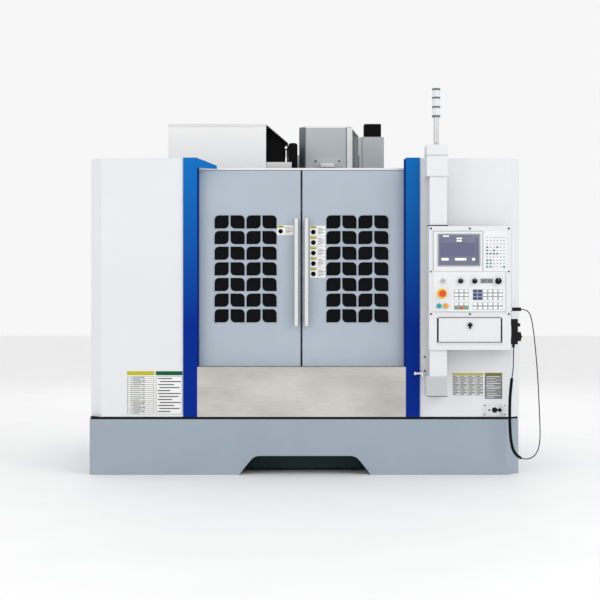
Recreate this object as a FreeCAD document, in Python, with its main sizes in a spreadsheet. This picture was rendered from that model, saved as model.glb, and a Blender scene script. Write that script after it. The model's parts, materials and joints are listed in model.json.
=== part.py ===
import FreeCAD, Part
import math
import os
import re
import Sketcher

# Vertical machining center.  Millimetres, +Z up, +X to the operator's right, +Y away from the operator.
# The origin lies on the floor under the middle of the whole machine.

os.makedirs("parts", exist_ok=True)
doc = FreeCAD.newDocument("machining_center")
dims = doc.addObject("Spreadsheet::Sheet", "dims")

sizes = {
    # enclosure
    "machine_width": 2600,
    "front_reach": 980,
    "rear_reach": 1165,
    "base_height": 334,
    "base_wall": 6,
    "base_left_bevel": 20,
    "base_right_bevel": 90,
    "seal_height": 15,
    "seal_inset": 4,
    "seal_width": 40,
    "panel_setback": 8,
    "panel_top": 1908,
    "sheet_wall": 5,
    "left_panel_width": 566,
    "right_panel_width": 608,
    "left_panel_bevel": 72,
    "right_panel_bevel": 54,
    "panel_return": 40,
    "pillar_width": 84,
    "pillar_wall": 4,
    "pillar_rise": 3,
    "gusset_reach": 120,
    "gusset_tip_bottom": 1842,
    "gusset_tip_top": 1862,
    "gusset_root_bottom": 1851,
    "slot_half_width": 398,
    "slot_top_half_width": 307,
    "slot_height": 114,
    "slot_fillet": 70,
    # doors
    "door_recess": 65,
    "door_thickness": 30,
    "door_bottom": 652,
    "door_top": 1839,
    "door_gap": 3,
    "door_overlap": 20,
    "cell_width": 88,
    "cell_height": 82,
    "cell_pitch_across": 97,
    "cell_pitch_up": 95,
    "cell_corner": 28,
    "cell_columns": 4,
    "cell_rows": 7,
    "window_from_middle": 150,
    "window_bottom": 916,
    "pane_thickness": 6,
    "pane_margin": 20,
    "handle_width": 28,
    "handle_depth": 14,
    "handle_standoff": 40,
    "handle_bottom": 896,
    "handle_length": 652,
    "handle_from_middle": 17,
    "handle_foot_inset": 40,
    "handle_foot_margin": 6,
    "apron_wall": 3,
    "apron_setback": 5,
    "rail_depth": 74,
    "rail_height": 12,
    # castings and axes
    "spindle_across": 140,
    "spindle_deep": -50,
    "bed_half_width": 300,
    "bed_bottom": 40,
    "bed_top": 500,
    "bed_wall": 150,
    "bed_deck": 180,
    "bed_front": 560,
    "bed_clearance": 10,
    "screw_trench": 60,
    "trench_depth": 90,
    "way_height": 30,
    "way_width": 45,
    "way_offset": 170,
    "slide_gap": 0.5,
    "saddle_half_length": 490,
    "saddle_half_width": 190,
    "saddle_drop": 22,
    "saddle_height": 200,
    "table_half_length": 500,
    "table_half_width": 250,
    "table_bottom": 715,
    "table_top": 860,
    "table_way_offset": 100,
    "t_slot_width": 18,
    "t_slot_depth": 32,
    "t_slot_foot": 30,
    "t_slot_foot_height": 13,
    "t_slot_pitch": 90,
    "screw_radius": 18,
    "screw_gap": 0.5,
    "nut_half_length": 60,
    "nut_half_width": 38,
    "trench_gap": 8,
    "deep_screw_height": 455,
    "cross_screw_height": 660,
    "end_wall": 20,
    "motor_size": 100,
    "motor_length": 150,
    "column_half_width": 250,
    "column_front": 480,
    "column_back": 900,
    "column_wall": 40,
    "column_top": 2080,
    "column_way_offset": 150,
    "column_way_bottom": 940,
    "support_rise": 14,
    "motor_shelf": 20,
    "head_plate_bottom": 1550,
    "head_plate_top": 1940,
    "head_plate_depth": 50,
    "head_plate_half": 220,
    "gib_gap": 3,
    "lift_screw_set": 5,
    "quill_root": 5,
    "head_front": 130,
    "head_bottom": 1640,
    "quill_radius": 92,
    "quill_bottom": 1530,
    "spindle_radius": 58,
    "spindle_nose": 1500,
    "taper_radius": 22.2,
    "taper_depth": 65,
    "taper_rise": 7,
    "taper_run": 48,
    "taper_short": 2,
    "drawbar_radius": 10,
    "spindle_motor_size": 200,
    "spindle_motor_length": 230,
    "motor_gap": 1,
    "hood_half_width": 175,
    "hood_bevel": 40,
    "hood_front": 200,
    "hood_back": 250,
    "hood_bottom": 1760,
    "hood_top": 2193,
    "hood_wall": 3,
    "mitre": 0.41,
    # top boxes
    "cooler_left": 390,
    "cooler_width": 174,
    "cooler_front": 420,
    "cooler_depth": 380,
    "cooler_bottom": 1700,
    "cooler_top": 2206,
    "fan_inset": 36,
    "fan_width": 116,
    "fan_height": 92,
    # tool magazine
    "magazine_left": 884,
    "magazine_corner": 250,
    "magazine_right": 108,
    "magazine_front": 380,
    "magazine_back": 280,
    "magazine_bottom": 1700,
    "magazine_top": 2195,
    "magazine_low_corner": 2075,
    "magazine_wall": 4,
    "beam_front": 60,
    "beam_depth": 60,
    "beam_bottom": 1570,
    "beam_height": 120,
    "beam_right": 110,
    "carriage_left": 110,
    "carriage_right": 45,
    "carriage_plate": 25,
    "carriage_bottom": 1530,
    "carousel_centre": 450,
    "carousel_radius": 275,
    "carousel_bottom": 1480,
    "carousel_thickness": 8,
    "hub_radius": 45,
    "tool_circle": 230,
    "tool_count": 12,
    "tool_slot_half": 27,
    "flange_radius": 31.5,
    "groove_radius": 26,
    "flange_bottom": 1470,
    "groove_bottom": 1478,
    "groove_top": 1490,
    "flange_top": 1498,
    "collet_radius": 24,
    "collet_length": 50,
    "mill_radius": 8,
    "mill_length": 60,
    "taper_gap": 0.1,
    # swinging control panel
    "post_across": 511,
    "post_deep": 1065,
    "post_half_width": 51,
    "post_wall": 4,
    "post_plate": 12,
    "pin_radius": 20,
    "pin_length": 30,
    "pin_gap": 0.05,
    "bracket_left": 580,
    "bracket_right": 455,
    "bracket_front": 1125,
    "bracket_top": 1973,
    "bracket_bottom": 1786,
    "foot_top": 600,
    "foot_bottom": 481,
    "post_gap": 0.5,
    "box_left": 568,
    "box_right": 84,
    "box_bottom": 758,
    "box_top": 1490,
    "box_front": 1130,
    "box_back": 1010,
    "box_wall": 4,
    "box_shelf": 962,
    "plate_left": 544,
    "plate_right": 113,
    "plate_bottom": 982,
    "plate_top": 1218,
    "plate_thickness": 4,
    "plate_margin": 14,
    "display_right": 107,
    "display_bottom": 1224,
    "display_top": 1461,
    "display_depth": 50,
    "store_left": 521,
    "store_right": 134,
    "store_bottom": 802,
    "store_top": 947,
    "flap_overlap": 4,
    "flap_gap": 1.3,
    "flap_thickness": 3,
    "barrel_radius": 3.3,
    "hinge_pin_radius": 1.5,
    "hinge_drop": 5,
    "lug_length": 10,
    "lug_gap": 0.5,
    "latch_across": 326,
    "latch_height": 905,
    "latch_radius": 12,
    "latch_rise": 9,
    "control_gap": 0.3,
    "control_stem": 7,
    "stem_depth": 20,
    "stop_across": 491,
    "stop_height": 1091,
    "stop_radius": 20,
    "stop_rise": 41,
    "stop_cap": 15,
    "lit_left": 509,
    "lit_right": 468,
    "lit_height": 1018,
    "lit_radius": 14,
    "lit_rise": 14,
    "lit_gap": 3.5,
    "knob_height": 1165,
    "key_across": 485,
    "feed_across": 382,
    "speed_across": 299,
    "mode_across": 160,
    "key_radius": 13,
    "knob_radius": 15,
    "dial_radius": 19,
    "knob_rise": 20,
    "grip_half": 3,
    "grip_rise": 5,
    # lamp
    "lamp_across": 517,
    "lamp_deep": 1050,
    "lamp_pole_radius": 15,
    "lamp_pole_height": 170,
    "lamp_radius": 24,
    "lamp_height": 173,
    # hand pendant and its cord
    "holder_width": 6,
    "pendant_thickness": 40,
    "pendant_half_width": 40,
    "pendant_bottom": 790,
    "pendant_top": 940,
    "gland_radius": 8,
    "gland_length": 20,
    "wheel_radius": 28,
    "wheel_height": 835,
    "wheel_rise": 22,
    "selector_radius": 10,
    "selector_height": 905,
    "selector_spread": 19,
    "selector_rise": 16,
    "socket_height": 998,
    "socket_radius": 11,
    "socket_length": 70,
    "cord_radius": 3,
    "curl_radius": 10,
    # rear and underside
    "cabinet_half_width": 600,
    "cabinet_front": 905,
    "cabinet_back": 1150,
    "cabinet_top": 1850,
    "cabinet_door": 14.5,
    "cabinet_handle_reach": 10,
    "cabinet_handle_width": 30,
    "cabinet_handle_height": 160,
    "cabinet_barrel_radius": 6,
    "cabinet_barrel_length": 90,
    "cabinet_barrel_inset": 200,
    "foot_radius": 45,
    "foot_height": 22,
    "foot_screw": 15,
    "tank_half_width": 450,
    "tank_front": 780,
    "tank_back": 600,
    "tank_foot": 15,
    "tank_top": 300,
    "tank_wall": 4,
}

row = 0
for name, value in sizes.items():
    row += 1
    dims.set(f"A{row}", name)
    dims.set(f"B{row}", str(value))
    dims.setAlias(f"B{row}", name)
doc.recompute()

word = re.compile(r"[a-z][a-z_]*")

# The control panel hangs at the machine's right, so these places count inwards from that side.
from_right = {
    "post_across",
    "bracket_left",
    "bracket_right",
    "box_left",
    "box_right",
    "plate_left",
    "plate_right",
    "display_right",
    "store_left",
    "store_right",
    "latch_across",
    "stop_across",
    "lit_left",
    "lit_right",
    "key_across",
    "feed_across",
    "speed_across",
    "mode_across",
    "lamp_across",
}


def cell(name):
    if name in from_right:
        return f"(dims.machine_width / 2 - dims.{name})"
    return f"dims.{name}" if name in sizes else name


def bind(thing, prop, text):
    """Ties a property to the sheet. Cells are written in text by their names."""
    thing.setExpression(prop, word.sub(lambda found: cell(found.group()), str(text)))


def size(name):
    value = float(dims.get(name))
    return size("machine_width") / 2 - value if name in from_right else value


def place(thing, at):
    for axis, text in zip("xyz", at):
        bind(thing, f".Placement.Base.{axis}", text)


def span(name, x, y, z):
    """A block between two faces along each axis."""
    thing = doc.addObject("Part::Box", name)
    for prop, (low, high) in zip(("Length", "Width", "Height"), (x, y, z)):
        bind(thing, prop, f"({high}) - ({low})")
    place(thing, (x[0], y[0], z[0]))
    return thing


turns = {
    "z": FreeCAD.Rotation(),
    "x": FreeCAD.Rotation(FreeCAD.Vector(0, 1, 0), 90),
    "y": FreeCAD.Rotation(FreeCAD.Vector(1, 0, 0), -90),
}


def rod(name, at, radius, length, along="z"):
    """A round bar that starts at a point and runs along the positive axis."""
    thing = doc.addObject("Part::Cylinder", name)
    bind(thing, "Radius", radius)
    bind(thing, "Height", length)
    thing.Placement = FreeCAD.Placement(FreeCAD.Vector(), turns[along])
    place(thing, at)
    return thing


def cone(name, at, low_radius, high_radius, length):
    thing = doc.addObject("Part::Cone", name)
    bind(thing, "Radius1", low_radius)
    bind(thing, "Radius2", high_radius)
    bind(thing, "Height", length)
    place(thing, at)
    return thing


def joined(name, *pieces):
    thing = doc.addObject("Part::MultiFuse", name)
    thing.Shapes = list(pieces)
    thing.Refine = True
    return thing


def cut(name, base, *tools):
    thing = doc.addObject("Part::Cut", name)
    thing.Base = base
    thing.Tool = tools[0] if len(tools) == 1 else joined(f"{name}_tools", *tools)
    thing.Refine = True
    return thing


def group(name, pieces):
    """Separate identical solids that share one node."""
    thing = doc.addObject("Part::Compound", name)
    thing.Links = list(pieces)
    return thing


def origin_plane(body, role):
    return next(f for f in body.Origin.OriginFeatures if f.Role == role)


def sketch_on(body, name, plane, offset):
    sketch = body.newObject("Sketcher::SketchObject", name)
    sketch.AttachmentSupport = [(origin_plane(body, f"{plane}_Plane"), "")]
    sketch.MapMode = "FlatFace"
    bind(sketch, ".AttachmentOffset.Base.z", offset)
    return sketch


seed_reach = 500
seed_length = 100


def seed_point(i, count):
    """Where a corner starts out, before its constraints take hold."""
    turn = 2 * math.pi * i / count
    return FreeCAD.Vector(math.cos(turn), math.sin(turn), 0) * seed_reach


def outline(sketch, points):
    """A closed outline of straight lines. Each corner is tied to the sheet."""
    count = len(points)
    for i in range(count):
        sketch.addGeometry(Part.LineSegment(seed_point(i, count), seed_point(i + 1, count)), False)
    first = sketch.GeometryCount - count
    for i in range(count):
        sketch.addConstraint(Sketcher.Constraint("Coincident", first + i, 2, first + (i + 1) % count, 1))
    for i, point in enumerate(points):
        for kind, text in zip(("DistanceX", "DistanceY"), point):
            number = sketch.addConstraint(Sketcher.Constraint(kind, -1, 1, first + i, 1, seed_length))
            bind(sketch, f"Constraints[{number}]", text)


def between(plane, low, high, cutting=False):
    """The sketch's offset for a pad, or a pocket, that fills from low to high."""
    if plane == "XZ":
        return f"-({low})" if cutting else f"-({high})"
    return high if cutting else low


def prism(name, plane, points, low, high):
    """A body whose first feature is an outline padded from low to high across its plane."""
    body = doc.addObject("PartDesign::Body", name)
    sketch = sketch_on(body, f"{name}_outline", plane, between(plane, low, high))
    outline(sketch, points)
    pad = body.newObject("PartDesign::Pad", f"{name}_pad")
    pad.Profile = sketch
    bind(pad, "Length", f"({high}) - ({low})")
    doc.recompute()
    return body


def add_prism(body, name, plane, points, low, high):
    sketch = sketch_on(body, f"{name}_outline", plane, between(plane, low, high))
    outline(sketch, points)
    pad = body.newObject("PartDesign::Pad", name)
    pad.Profile = sketch
    bind(pad, "Length", f"({high}) - ({low})")
    doc.recompute()
    return pad


def pocket(body, name, plane, points, low, high):
    """Cuts an outline out of a body from low to high, and checks that it took something away."""
    before = body.Shape.Volume
    sketch = sketch_on(body, f"{name}_outline", plane, between(plane, low, high, True))
    outline(sketch, points)
    feature = body.newObject("PartDesign::Pocket", name)
    feature.Profile = sketch
    bind(feature, "Length", f"({high}) - ({low})")
    doc.recompute()
    if body.Shape.Volume > before - 1:
        raise ValueError(f"{name} cut nothing")
    return feature


def rectangle(x, y):
    return [(x[0], y[0]), (x[1], y[0]), (x[1], y[1]), (x[0], y[1])]


def fillet(body, name, radius, chosen):
    """Rounds the edges of the body's tip that the test picks."""
    tip = body.Tip
    names = [f"Edge{i + 1}" for i, edge in enumerate(tip.Shape.Edges) if chosen(edge)]
    feature = body.newObject("PartDesign::Fillet", name)
    feature.Base = (tip, names)
    bind(feature, "Radius", radius)
    doc.recompute()
    return feature


nodes = {}


def node(name, thing):
    """Names the finished piece; its label is its file's name."""
    thing.Label = name
    nodes[name] = thing
    return thing


# Faces that many pieces share, as sums of named sizes
half = "machine_width / 2"
middle = "((left_panel_width - right_panel_width) / 2)"
opening_left = "(-machine_width / 2 + left_panel_width + pillar_width)"
opening_right = "(machine_width / 2 - right_panel_width - pillar_width)"
cover_bottom = "(base_height + seal_height)"
cover_front = "(-front_reach + panel_setback)"
door_front = "(-front_reach + door_recess)"
door_back = "(-front_reach + door_recess + door_thickness)"
barrel_room = "(cabinet_barrel_radius + slide_gap)"
saddle_bottom = "(bed_top + way_height - saddle_drop)"
saddle_top = "(bed_top + way_height - saddle_drop + saddle_height)"


# ---------------------------------------------------------------- base and castings
def base_plan(inset):
    """The base seen from above: a rectangle whose two front corners are bevelled."""
    side = f"({half} - {inset})"
    near = f"(-front_reach + {inset})"
    far = f"(rear_reach - {inset})"
    return [
        (f"-{side}", f"{near} + base_left_bevel"),
        (f"-{side} + base_left_bevel", near),
        (f"{side} - base_right_bevel + mitre * {inset}", near),
        (side, f"{near} + base_right_bevel - mitre * {inset}"),
        (side, far),
        (f"-{side}", far),
    ]


bed_left = "(spindle_across - bed_half_width)"
bed_right = "(spindle_across + bed_half_width)"
hole_x = (f"{bed_left} - bed_clearance", f"{bed_right} + bed_clearance")
hole_y = ("-bed_front - bed_clearance", "column_back + bed_clearance")

base = prism("base_skirt", "XY", base_plan("0"), "0", "base_height")
pocket(base, "base_inside", "XY", base_plan("base_wall"), "0", "base_height - base_wall")
pocket(base, "bed_hole", "XY", rectangle(hole_x, hole_y), "base_height - base_wall", "base_height")
slot = [
    ("-slot_half_width", "0"),
    ("slot_half_width", "0"),
    ("slot_top_half_width", "slot_height"),
    ("-slot_top_half_width", "slot_height"),
]
pocket(base, "front_slot", "XZ", slot, "-front_reach", "-front_reach + base_wall")
fillet(
    base,
    "slot_corners",
    "slot_fillet",
    lambda e: len(e.Vertexes) == 2
    and abs(e.Vertexes[0].X - e.Vertexes[1].X) < 0.01
    and abs(abs(e.Vertexes[0].X) - size("slot_top_half_width")) < 0.01
    and abs(e.Vertexes[0].Z - size("slot_height")) < 0.01
    and abs(e.Length - size("base_wall")) < 0.01,
)
node("base_skirt", base)
seal = prism("base_seal", "XY", base_plan("seal_inset"), "base_height", cover_bottom)
pocket(seal, "seal_inside", "XY", base_plan("seal_width"), "base_height", cover_bottom)
node("base_seal", seal)

foot_x = (
    "spindle_across - bed_half_width + 2 * foot_radius",
    "spindle_across + bed_half_width - 2 * foot_radius",
)
foot_y = ("-bed_front + 2 * foot_radius", "(column_back - bed_front) / 2", "column_back - 2 * foot_radius")
feet = []
for i, x in enumerate(foot_x):
    for j, y in enumerate(foot_y):
        pad = rod(f"foot_pad_{i}{j}", (x, y, "0"), "foot_radius", "foot_height")
        stud = rod(f"foot_stud_{i}{j}", (x, y, "foot_height"), "foot_screw", "bed_bottom - foot_height")
        feet.append(joined(f"foot_{i}{j}", pad, stud))
node("leveling_feet", group("leveling_feet", feet))

bed_y = ("-bed_front", "column_back")
bed_block = span("bed_block", (bed_left, bed_right), bed_y, ("bed_bottom", "bed_top"))
bed_tunnel = span(
    "bed_tunnel",
    (f"{bed_left} + bed_wall", f"{bed_right} - bed_wall"),
    bed_y,
    ("bed_bottom", "bed_top - bed_deck"),
)
trench = span(
    "bed_trench",
    ("spindle_across - screw_trench", "spindle_across + screw_trench"),
    ("-bed_front + end_wall", "column_front - 2 * end_wall"),
    ("bed_top - trench_depth", "bed_top"),
)
trench_bore = rod(
    "bed_bore",
    ("spindle_across", "-bed_front", "deep_screw_height"),
    "screw_radius + screw_gap",
    "end_wall",
    "y",
)
bed_ways = []
for side, x in (
    ("left", "spindle_across - way_offset - way_width"),
    ("right", "spindle_across + way_offset"),
):
    bed_ways.append(
        span(
            f"bed_way_{side}",
            (x, f"({x}) + way_width"),
            ("-bed_front", "column_front - end_wall"),
            ("bed_top", "bed_top + way_height"),
        )
    )
node("bed", cut("bed", bed_block, bed_tunnel, trench, trench_bore))

deep_screw = rod(
    "deep_screw",
    ("spindle_across", "-bed_front", "deep_screw_height"),
    "screw_radius",
    "column_front - 2 * end_wall + bed_front - 2 * motor_gap",
    "y",
)


def motor(name, at, along, length="motor_length", width="motor_size"):
    """A servo motor's square case, which starts at a point and runs along a signed axis."""
    ranges = []
    for axis, middle_of in zip("xyz", at):
        if axis != along.strip("-"):
            ranges.append((f"{middle_of} - {width} / 2", f"{middle_of} + {width} / 2"))
        elif "-" in along:
            ranges.append((f"{middle_of} - {length}", middle_of))
        else:
            ranges.append((middle_of, f"{middle_of} + {length}"))
    return span(f"{name}_case", *ranges)


deep_motor = motor("deep_motor", ("spindle_across", "-bed_front", "deep_screw_height"), "-y")

# Saddle: rides on the bed's ways and carries the table's ways
saddle_x = ("spindle_across - saddle_half_length", "spindle_across + saddle_half_length")
saddle_y = ("spindle_deep - saddle_half_width", "spindle_deep + saddle_half_width")
saddle_block = span("saddle_block", saddle_x, saddle_y, (saddle_bottom, saddle_top))
saddle_cuts = []
for side, x in (
    ("left", "spindle_across - way_offset - way_width"),
    ("right", "spindle_across + way_offset"),
):
    saddle_cuts.append(
        span(
            f"saddle_groove_{side}",
            (f"({x}) - slide_gap", f"({x}) + way_width + slide_gap"),
            saddle_y,
            (saddle_bottom, "bed_top + way_height + slide_gap"),
        )
    )
saddle_cuts.append(
    span(
        "saddle_trench",
        ("spindle_across - saddle_half_length + end_wall", "spindle_across + saddle_half_length - end_wall"),
        ("spindle_deep - nut_half_width - trench_gap", "spindle_deep + nut_half_width + trench_gap"),
        ("cross_screw_height - nut_half_width - trench_gap", saddle_top),
    )
)
saddle_cuts.append(
    rod(
        "saddle_bore",
        ("spindle_across - saddle_half_length", "spindle_deep", "cross_screw_height"),
        "screw_radius + screw_gap",
        "2 * saddle_half_length",
        "x",
    )
)
saddle_ways = []
for side, y in (
    ("near", "spindle_deep - table_way_offset - way_width"),
    ("far", "spindle_deep + table_way_offset"),
):
    saddle_ways.append(
        span(
            f"saddle_way_{side}",
            saddle_x,
            (y, f"({y}) + way_width"),
            (saddle_top, f"{saddle_top} + way_height"),
        )
    )
saddle_nut = cut(
    "saddle_nut",
    span(
        "saddle_nut_block",
        ("spindle_across - nut_half_width", "spindle_across + nut_half_width"),
        ("spindle_deep - nut_half_length", "spindle_deep + nut_half_length"),
        ("deep_screw_height - nut_half_width", saddle_bottom),
    ),
    rod(
        "saddle_nut_bore",
        ("spindle_across", "spindle_deep - nut_half_length", "deep_screw_height"),
        "screw_radius + screw_gap",
        "2 * nut_half_length",
        "y",
    ),
)
node("saddle", joined("saddle", cut("saddle_casting", saddle_block, *saddle_cuts), saddle_nut))
node("cross_rails", group("cross_rails", saddle_ways))

cross_screw = rod(
    "cross_screw",
    ("spindle_across - saddle_half_length", "spindle_deep", "cross_screw_height"),
    "screw_radius",
    "2 * saddle_half_length",
    "x",
)
cross_end = ("spindle_across + saddle_half_length", "spindle_deep", "cross_screw_height")
node("cross_drive", group("cross_drive", [cross_screw, motor("cross_motor", cross_end, "x")]))

# Table with its T-slots
table_x = ("spindle_across - table_half_length", "spindle_across + table_half_length")
table_y = ("spindle_deep - table_half_width", "spindle_deep + table_half_width")
table_block = span("table_block", table_x, table_y, ("table_bottom", "table_top"))
table_cuts = []
for side, y in (
    ("near", "spindle_deep - table_way_offset - way_width"),
    ("far", "spindle_deep + table_way_offset"),
):
    table_cuts.append(
        span(
            f"table_groove_{side}",
            table_x,
            (f"({y}) - slide_gap", f"({y}) + way_width + slide_gap"),
            ("table_bottom", f"{saddle_top} + way_height + slide_gap"),
        )
    )
for i in (-2, -1, 0, 1, 2):
    name = f"t_slot_{i + 2}"
    y = f"(spindle_deep + {i} * t_slot_pitch)"
    table_cuts.append(
        span(
            name,
            table_x,
            (f"{y} - t_slot_width / 2", f"{y} + t_slot_width / 2"),
            ("table_top - t_slot_depth", "table_top"),
        )
    )
    table_cuts.append(
        span(
            f"{name}_foot",
            table_x,
            (f"{y} - t_slot_foot / 2", f"{y} + t_slot_foot / 2"),
            ("table_top - t_slot_depth", "table_top - t_slot_depth + t_slot_foot_height"),
        )
    )
table_nut = cut(
    "table_nut",
    span(
        "table_nut_block",
        ("spindle_across - nut_half_length", "spindle_across + nut_half_length"),
        ("spindle_deep - nut_half_width", "spindle_deep + nut_half_width"),
        ("cross_screw_height - nut_half_width", "table_bottom"),
    ),
    rod(
        "table_nut_bore",
        ("spindle_across - nut_half_length", "spindle_deep", "cross_screw_height"),
        "screw_radius + screw_gap",
        "2 * nut_half_length",
        "x",
    ),
)
node("table", joined("table", cut("table_casting", table_block, *table_cuts), table_nut))

# Column with its vertical ways, screw supports and motor shelf
column_x = ("spindle_across - column_half_width", "spindle_across + column_half_width")
column_y = ("column_front", "column_back")
column_block = span("column_block", column_x, column_y, ("bed_top", "column_top"))
column_core = span(
    "column_core",
    ("spindle_across - column_half_width + column_wall", "spindle_across + column_half_width - column_wall"),
    ("column_front + column_wall", "column_back - column_wall"),
    ("bed_top + column_wall", "column_top"),
)
column_ways = []
for side, x in (
    ("left", "spindle_across - column_way_offset - way_width"),
    ("right", "spindle_across + column_way_offset"),
):
    column_ways.append(
        span(
            f"column_way_{side}",
            (x, f"({x}) + way_width"),
            ("column_front - way_height", "column_front"),
            ("column_way_bottom", "column_top"),
        )
    )
lift_deep = "(column_front - way_height + lift_screw_set)"
lower_support = span(
    "lower_support",
    ("spindle_across - nut_half_width", "spindle_across + nut_half_width"),
    (f"{lift_deep} - nut_half_width", "column_front"),
    ("column_way_bottom + support_rise", "column_way_bottom + support_rise + 2 * end_wall"),
)
shelf = span(
    "shelf",
    ("spindle_across - motor_size", "spindle_across + motor_size"),
    (f"{lift_deep} - motor_size / 2", "column_front + column_wall"),
    ("column_top", "column_top + motor_shelf"),
)
lift_bore = rod(
    "lift_bore",
    ("spindle_across", lift_deep, "column_way_bottom"),
    "screw_radius + screw_gap",
    "column_top + motor_shelf - column_way_bottom",
)
column_solid = joined("column_solid", cut("column_casting", column_block, column_core), lower_support, shelf)
node("column", cut("column", column_solid, lift_bore))
node("guide_rails", group("guide_rails", [*bed_ways, *column_ways]))
lift_screw = rod(
    "lift_screw",
    ("spindle_across", lift_deep, "column_way_bottom + support_rise"),
    "screw_radius",
    "column_top + motor_shelf - column_way_bottom - support_rise",
)
lift_motor = motor("lift_motor", ("spindle_across", lift_deep, "column_top + motor_shelf"), "z")
node("axis_drives", group("axis_drives", [deep_screw, deep_motor, lift_screw, lift_motor]))

# Spindle head: plate on the column's ways, body, quill, nut
head_plate_y = (
    "column_front - way_height - slide_gap - head_plate_depth",
    "column_front - way_height - slide_gap",
)
plate_half = "head_plate_half"
head_plate = span(
    "head_plate",
    (f"spindle_across - {plate_half}", f"spindle_across + {plate_half}"),
    head_plate_y,
    ("head_plate_bottom", "head_plate_top"),
)
head_gibs = []
for side, low, high in (
    ("left", f"spindle_across - {plate_half}", "spindle_across - column_way_offset - way_width - slide_gap"),
    ("right", "spindle_across + column_way_offset + way_width + slide_gap", f"spindle_across + {plate_half}"),
):
    head_gibs.append(
        span(
            f"head_gib_{side}",
            (low, high),
            (head_plate_y[1], "column_front - gib_gap"),
            ("head_plate_bottom", "head_plate_top"),
        )
    )
head_body = span(
    "head_body",
    ("spindle_across - hood_half_width + hood_wall", "spindle_across + hood_half_width - hood_wall"),
    ("spindle_deep - head_front", head_plate_y[0]),
    ("head_bottom", "head_plate_top"),
)
head_nut = span(
    "head_nut",
    ("spindle_across - nut_half_width", "spindle_across + nut_half_width"),
    (head_plate_y[1], "column_front - gib_gap"),
    ("head_bottom", "head_bottom + 2 * nut_half_length"),
)
quill = rod(
    "quill",
    ("spindle_across", "spindle_deep", "quill_bottom"),
    "quill_radius",
    "head_bottom - quill_bottom + quill_root",
)
head_solid = joined("head_solid", head_plate, *head_gibs, head_body, head_nut, quill)
head_bores = [
    rod(
        "head_lift_bore",
        ("spindle_across", lift_deep, "head_plate_bottom"),
        "screw_radius + screw_gap",
        "head_plate_top - head_plate_bottom",
    ),
    rod(
        "head_spindle_bore",
        ("spindle_across", "spindle_deep", "quill_bottom"),
        "spindle_radius + screw_gap",
        "head_plate_top - quill_bottom",
    ),
]
node("head", cut("head", head_solid, *head_bores))

spindle_bar = rod(
    "spindle_bar",
    ("spindle_across", "spindle_deep", "spindle_nose"),
    "spindle_radius",
    "head_plate_top - spindle_nose - motor_gap",
)
taper = cone(
    "taper",
    ("spindle_across", "spindle_deep", "spindle_nose"),
    "taper_radius",
    "taper_radius - taper_depth * taper_rise / taper_run",
    "taper_depth",
)
drawbar_hole = rod(
    "drawbar_hole",
    ("spindle_across", "spindle_deep", "spindle_nose"),
    "drawbar_radius",
    "head_plate_top - spindle_nose - motor_gap",
)
node("spindle", cut("spindle", spindle_bar, taper, drawbar_hole))
node(
    "spindle_motor",
    motor(
        "spindle_motor",
        ("spindle_across", "spindle_deep", "head_plate_top"),
        "z",
        "spindle_motor_length",
        "spindle_motor_size",
    ),
)

# Sheet hood over the spindle motor, bevelled at its front corners and open below
def hood_plan(inset):
    side = f"(hood_half_width - {inset})"
    near = f"(spindle_deep - hood_front + {inset})"
    bevel = f"(hood_bevel - mitre * {inset})"
    return [
        (f"spindle_across - {side}", f"{near} + {bevel}"),
        (f"spindle_across - {side} + {bevel}", near),
        (f"spindle_across + {side} - {bevel}", near),
        (f"spindle_across + {side}", f"{near} + {bevel}"),
        (f"spindle_across + {side}", f"spindle_deep + hood_back - {inset}"),
        (f"spindle_across - {side}", f"spindle_deep + hood_back - {inset}"),
    ]


hood = prism("head_hood", "XY", hood_plan("0"), "hood_bottom", "hood_top")
pocket(hood, "hood_inside", "XY", hood_plan("hood_wall"), "hood_bottom", "hood_top - hood_wall")
pocket(
    hood,
    "hood_back_cut",
    "XZ",
    rectangle(
        ("spindle_across - hood_half_width + hood_wall", "spindle_across + hood_half_width - hood_wall"),
        ("hood_bottom", "head_plate_top"),
    ),
    "spindle_deep + hood_back - hood_wall",
    "spindle_deep + hood_back",
)
node("head_hood", hood)


# ---------------------------------------------------------------- enclosure
front_panels = []
outer_panels = []
for side, sign in (("left", "-"), ("right", "")):
    edge = f"{sign}({half} - {side}_panel_width)"
    bevel = f"{side}_panel_bevel"
    fold = f"{cover_front} + {bevel}"
    points = [
        (edge, cover_front),
        (f"{sign}({half} - {bevel})", cover_front),
        (f"{sign}({half})", fold),
        (f"{sign}({half})", f"{fold} + panel_return"),
        (f"{sign}({half} - sheet_wall)", f"{fold} + panel_return"),
        (f"{sign}({half} - sheet_wall)", f"{fold} + mitre * sheet_wall"),
        (f"{sign}({half} - {bevel} - mitre * sheet_wall)", f"{cover_front} + sheet_wall"),
        (edge, f"{cover_front} + sheet_wall"),
    ]
    front_panels.append(prism(f"{side}_front_sheet", "XY", points, cover_bottom, "panel_top"))
    wall = (f"{sign}({half})", f"{sign}({half} - sheet_wall)")
    rear = (f"{sign}({half} - sheet_wall)", f"{sign}(cabinet_half_width + {barrel_room})")
    if side == "right":
        wall = wall[::-1]
        rear = rear[::-1]
    wall_z = (cover_bottom, "panel_top")
    outer_panels.append(span(f"{side}_side_sheet", wall, (f"{fold} + panel_return", "rear_reach"), wall_z))
    outer_panels.append(span(f"{side}_rear_sheet", rear, ("rear_reach - sheet_wall", "rear_reach"), wall_z))
node("front_panels", group("front_panels", front_panels))
node("side_and_rear_panels", group("side_and_rear_panels", outer_panels))

pillar_y = ("-front_reach", f"{door_front} - door_gap")
pillar_z = (cover_bottom, "panel_top + pillar_rise")


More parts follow.
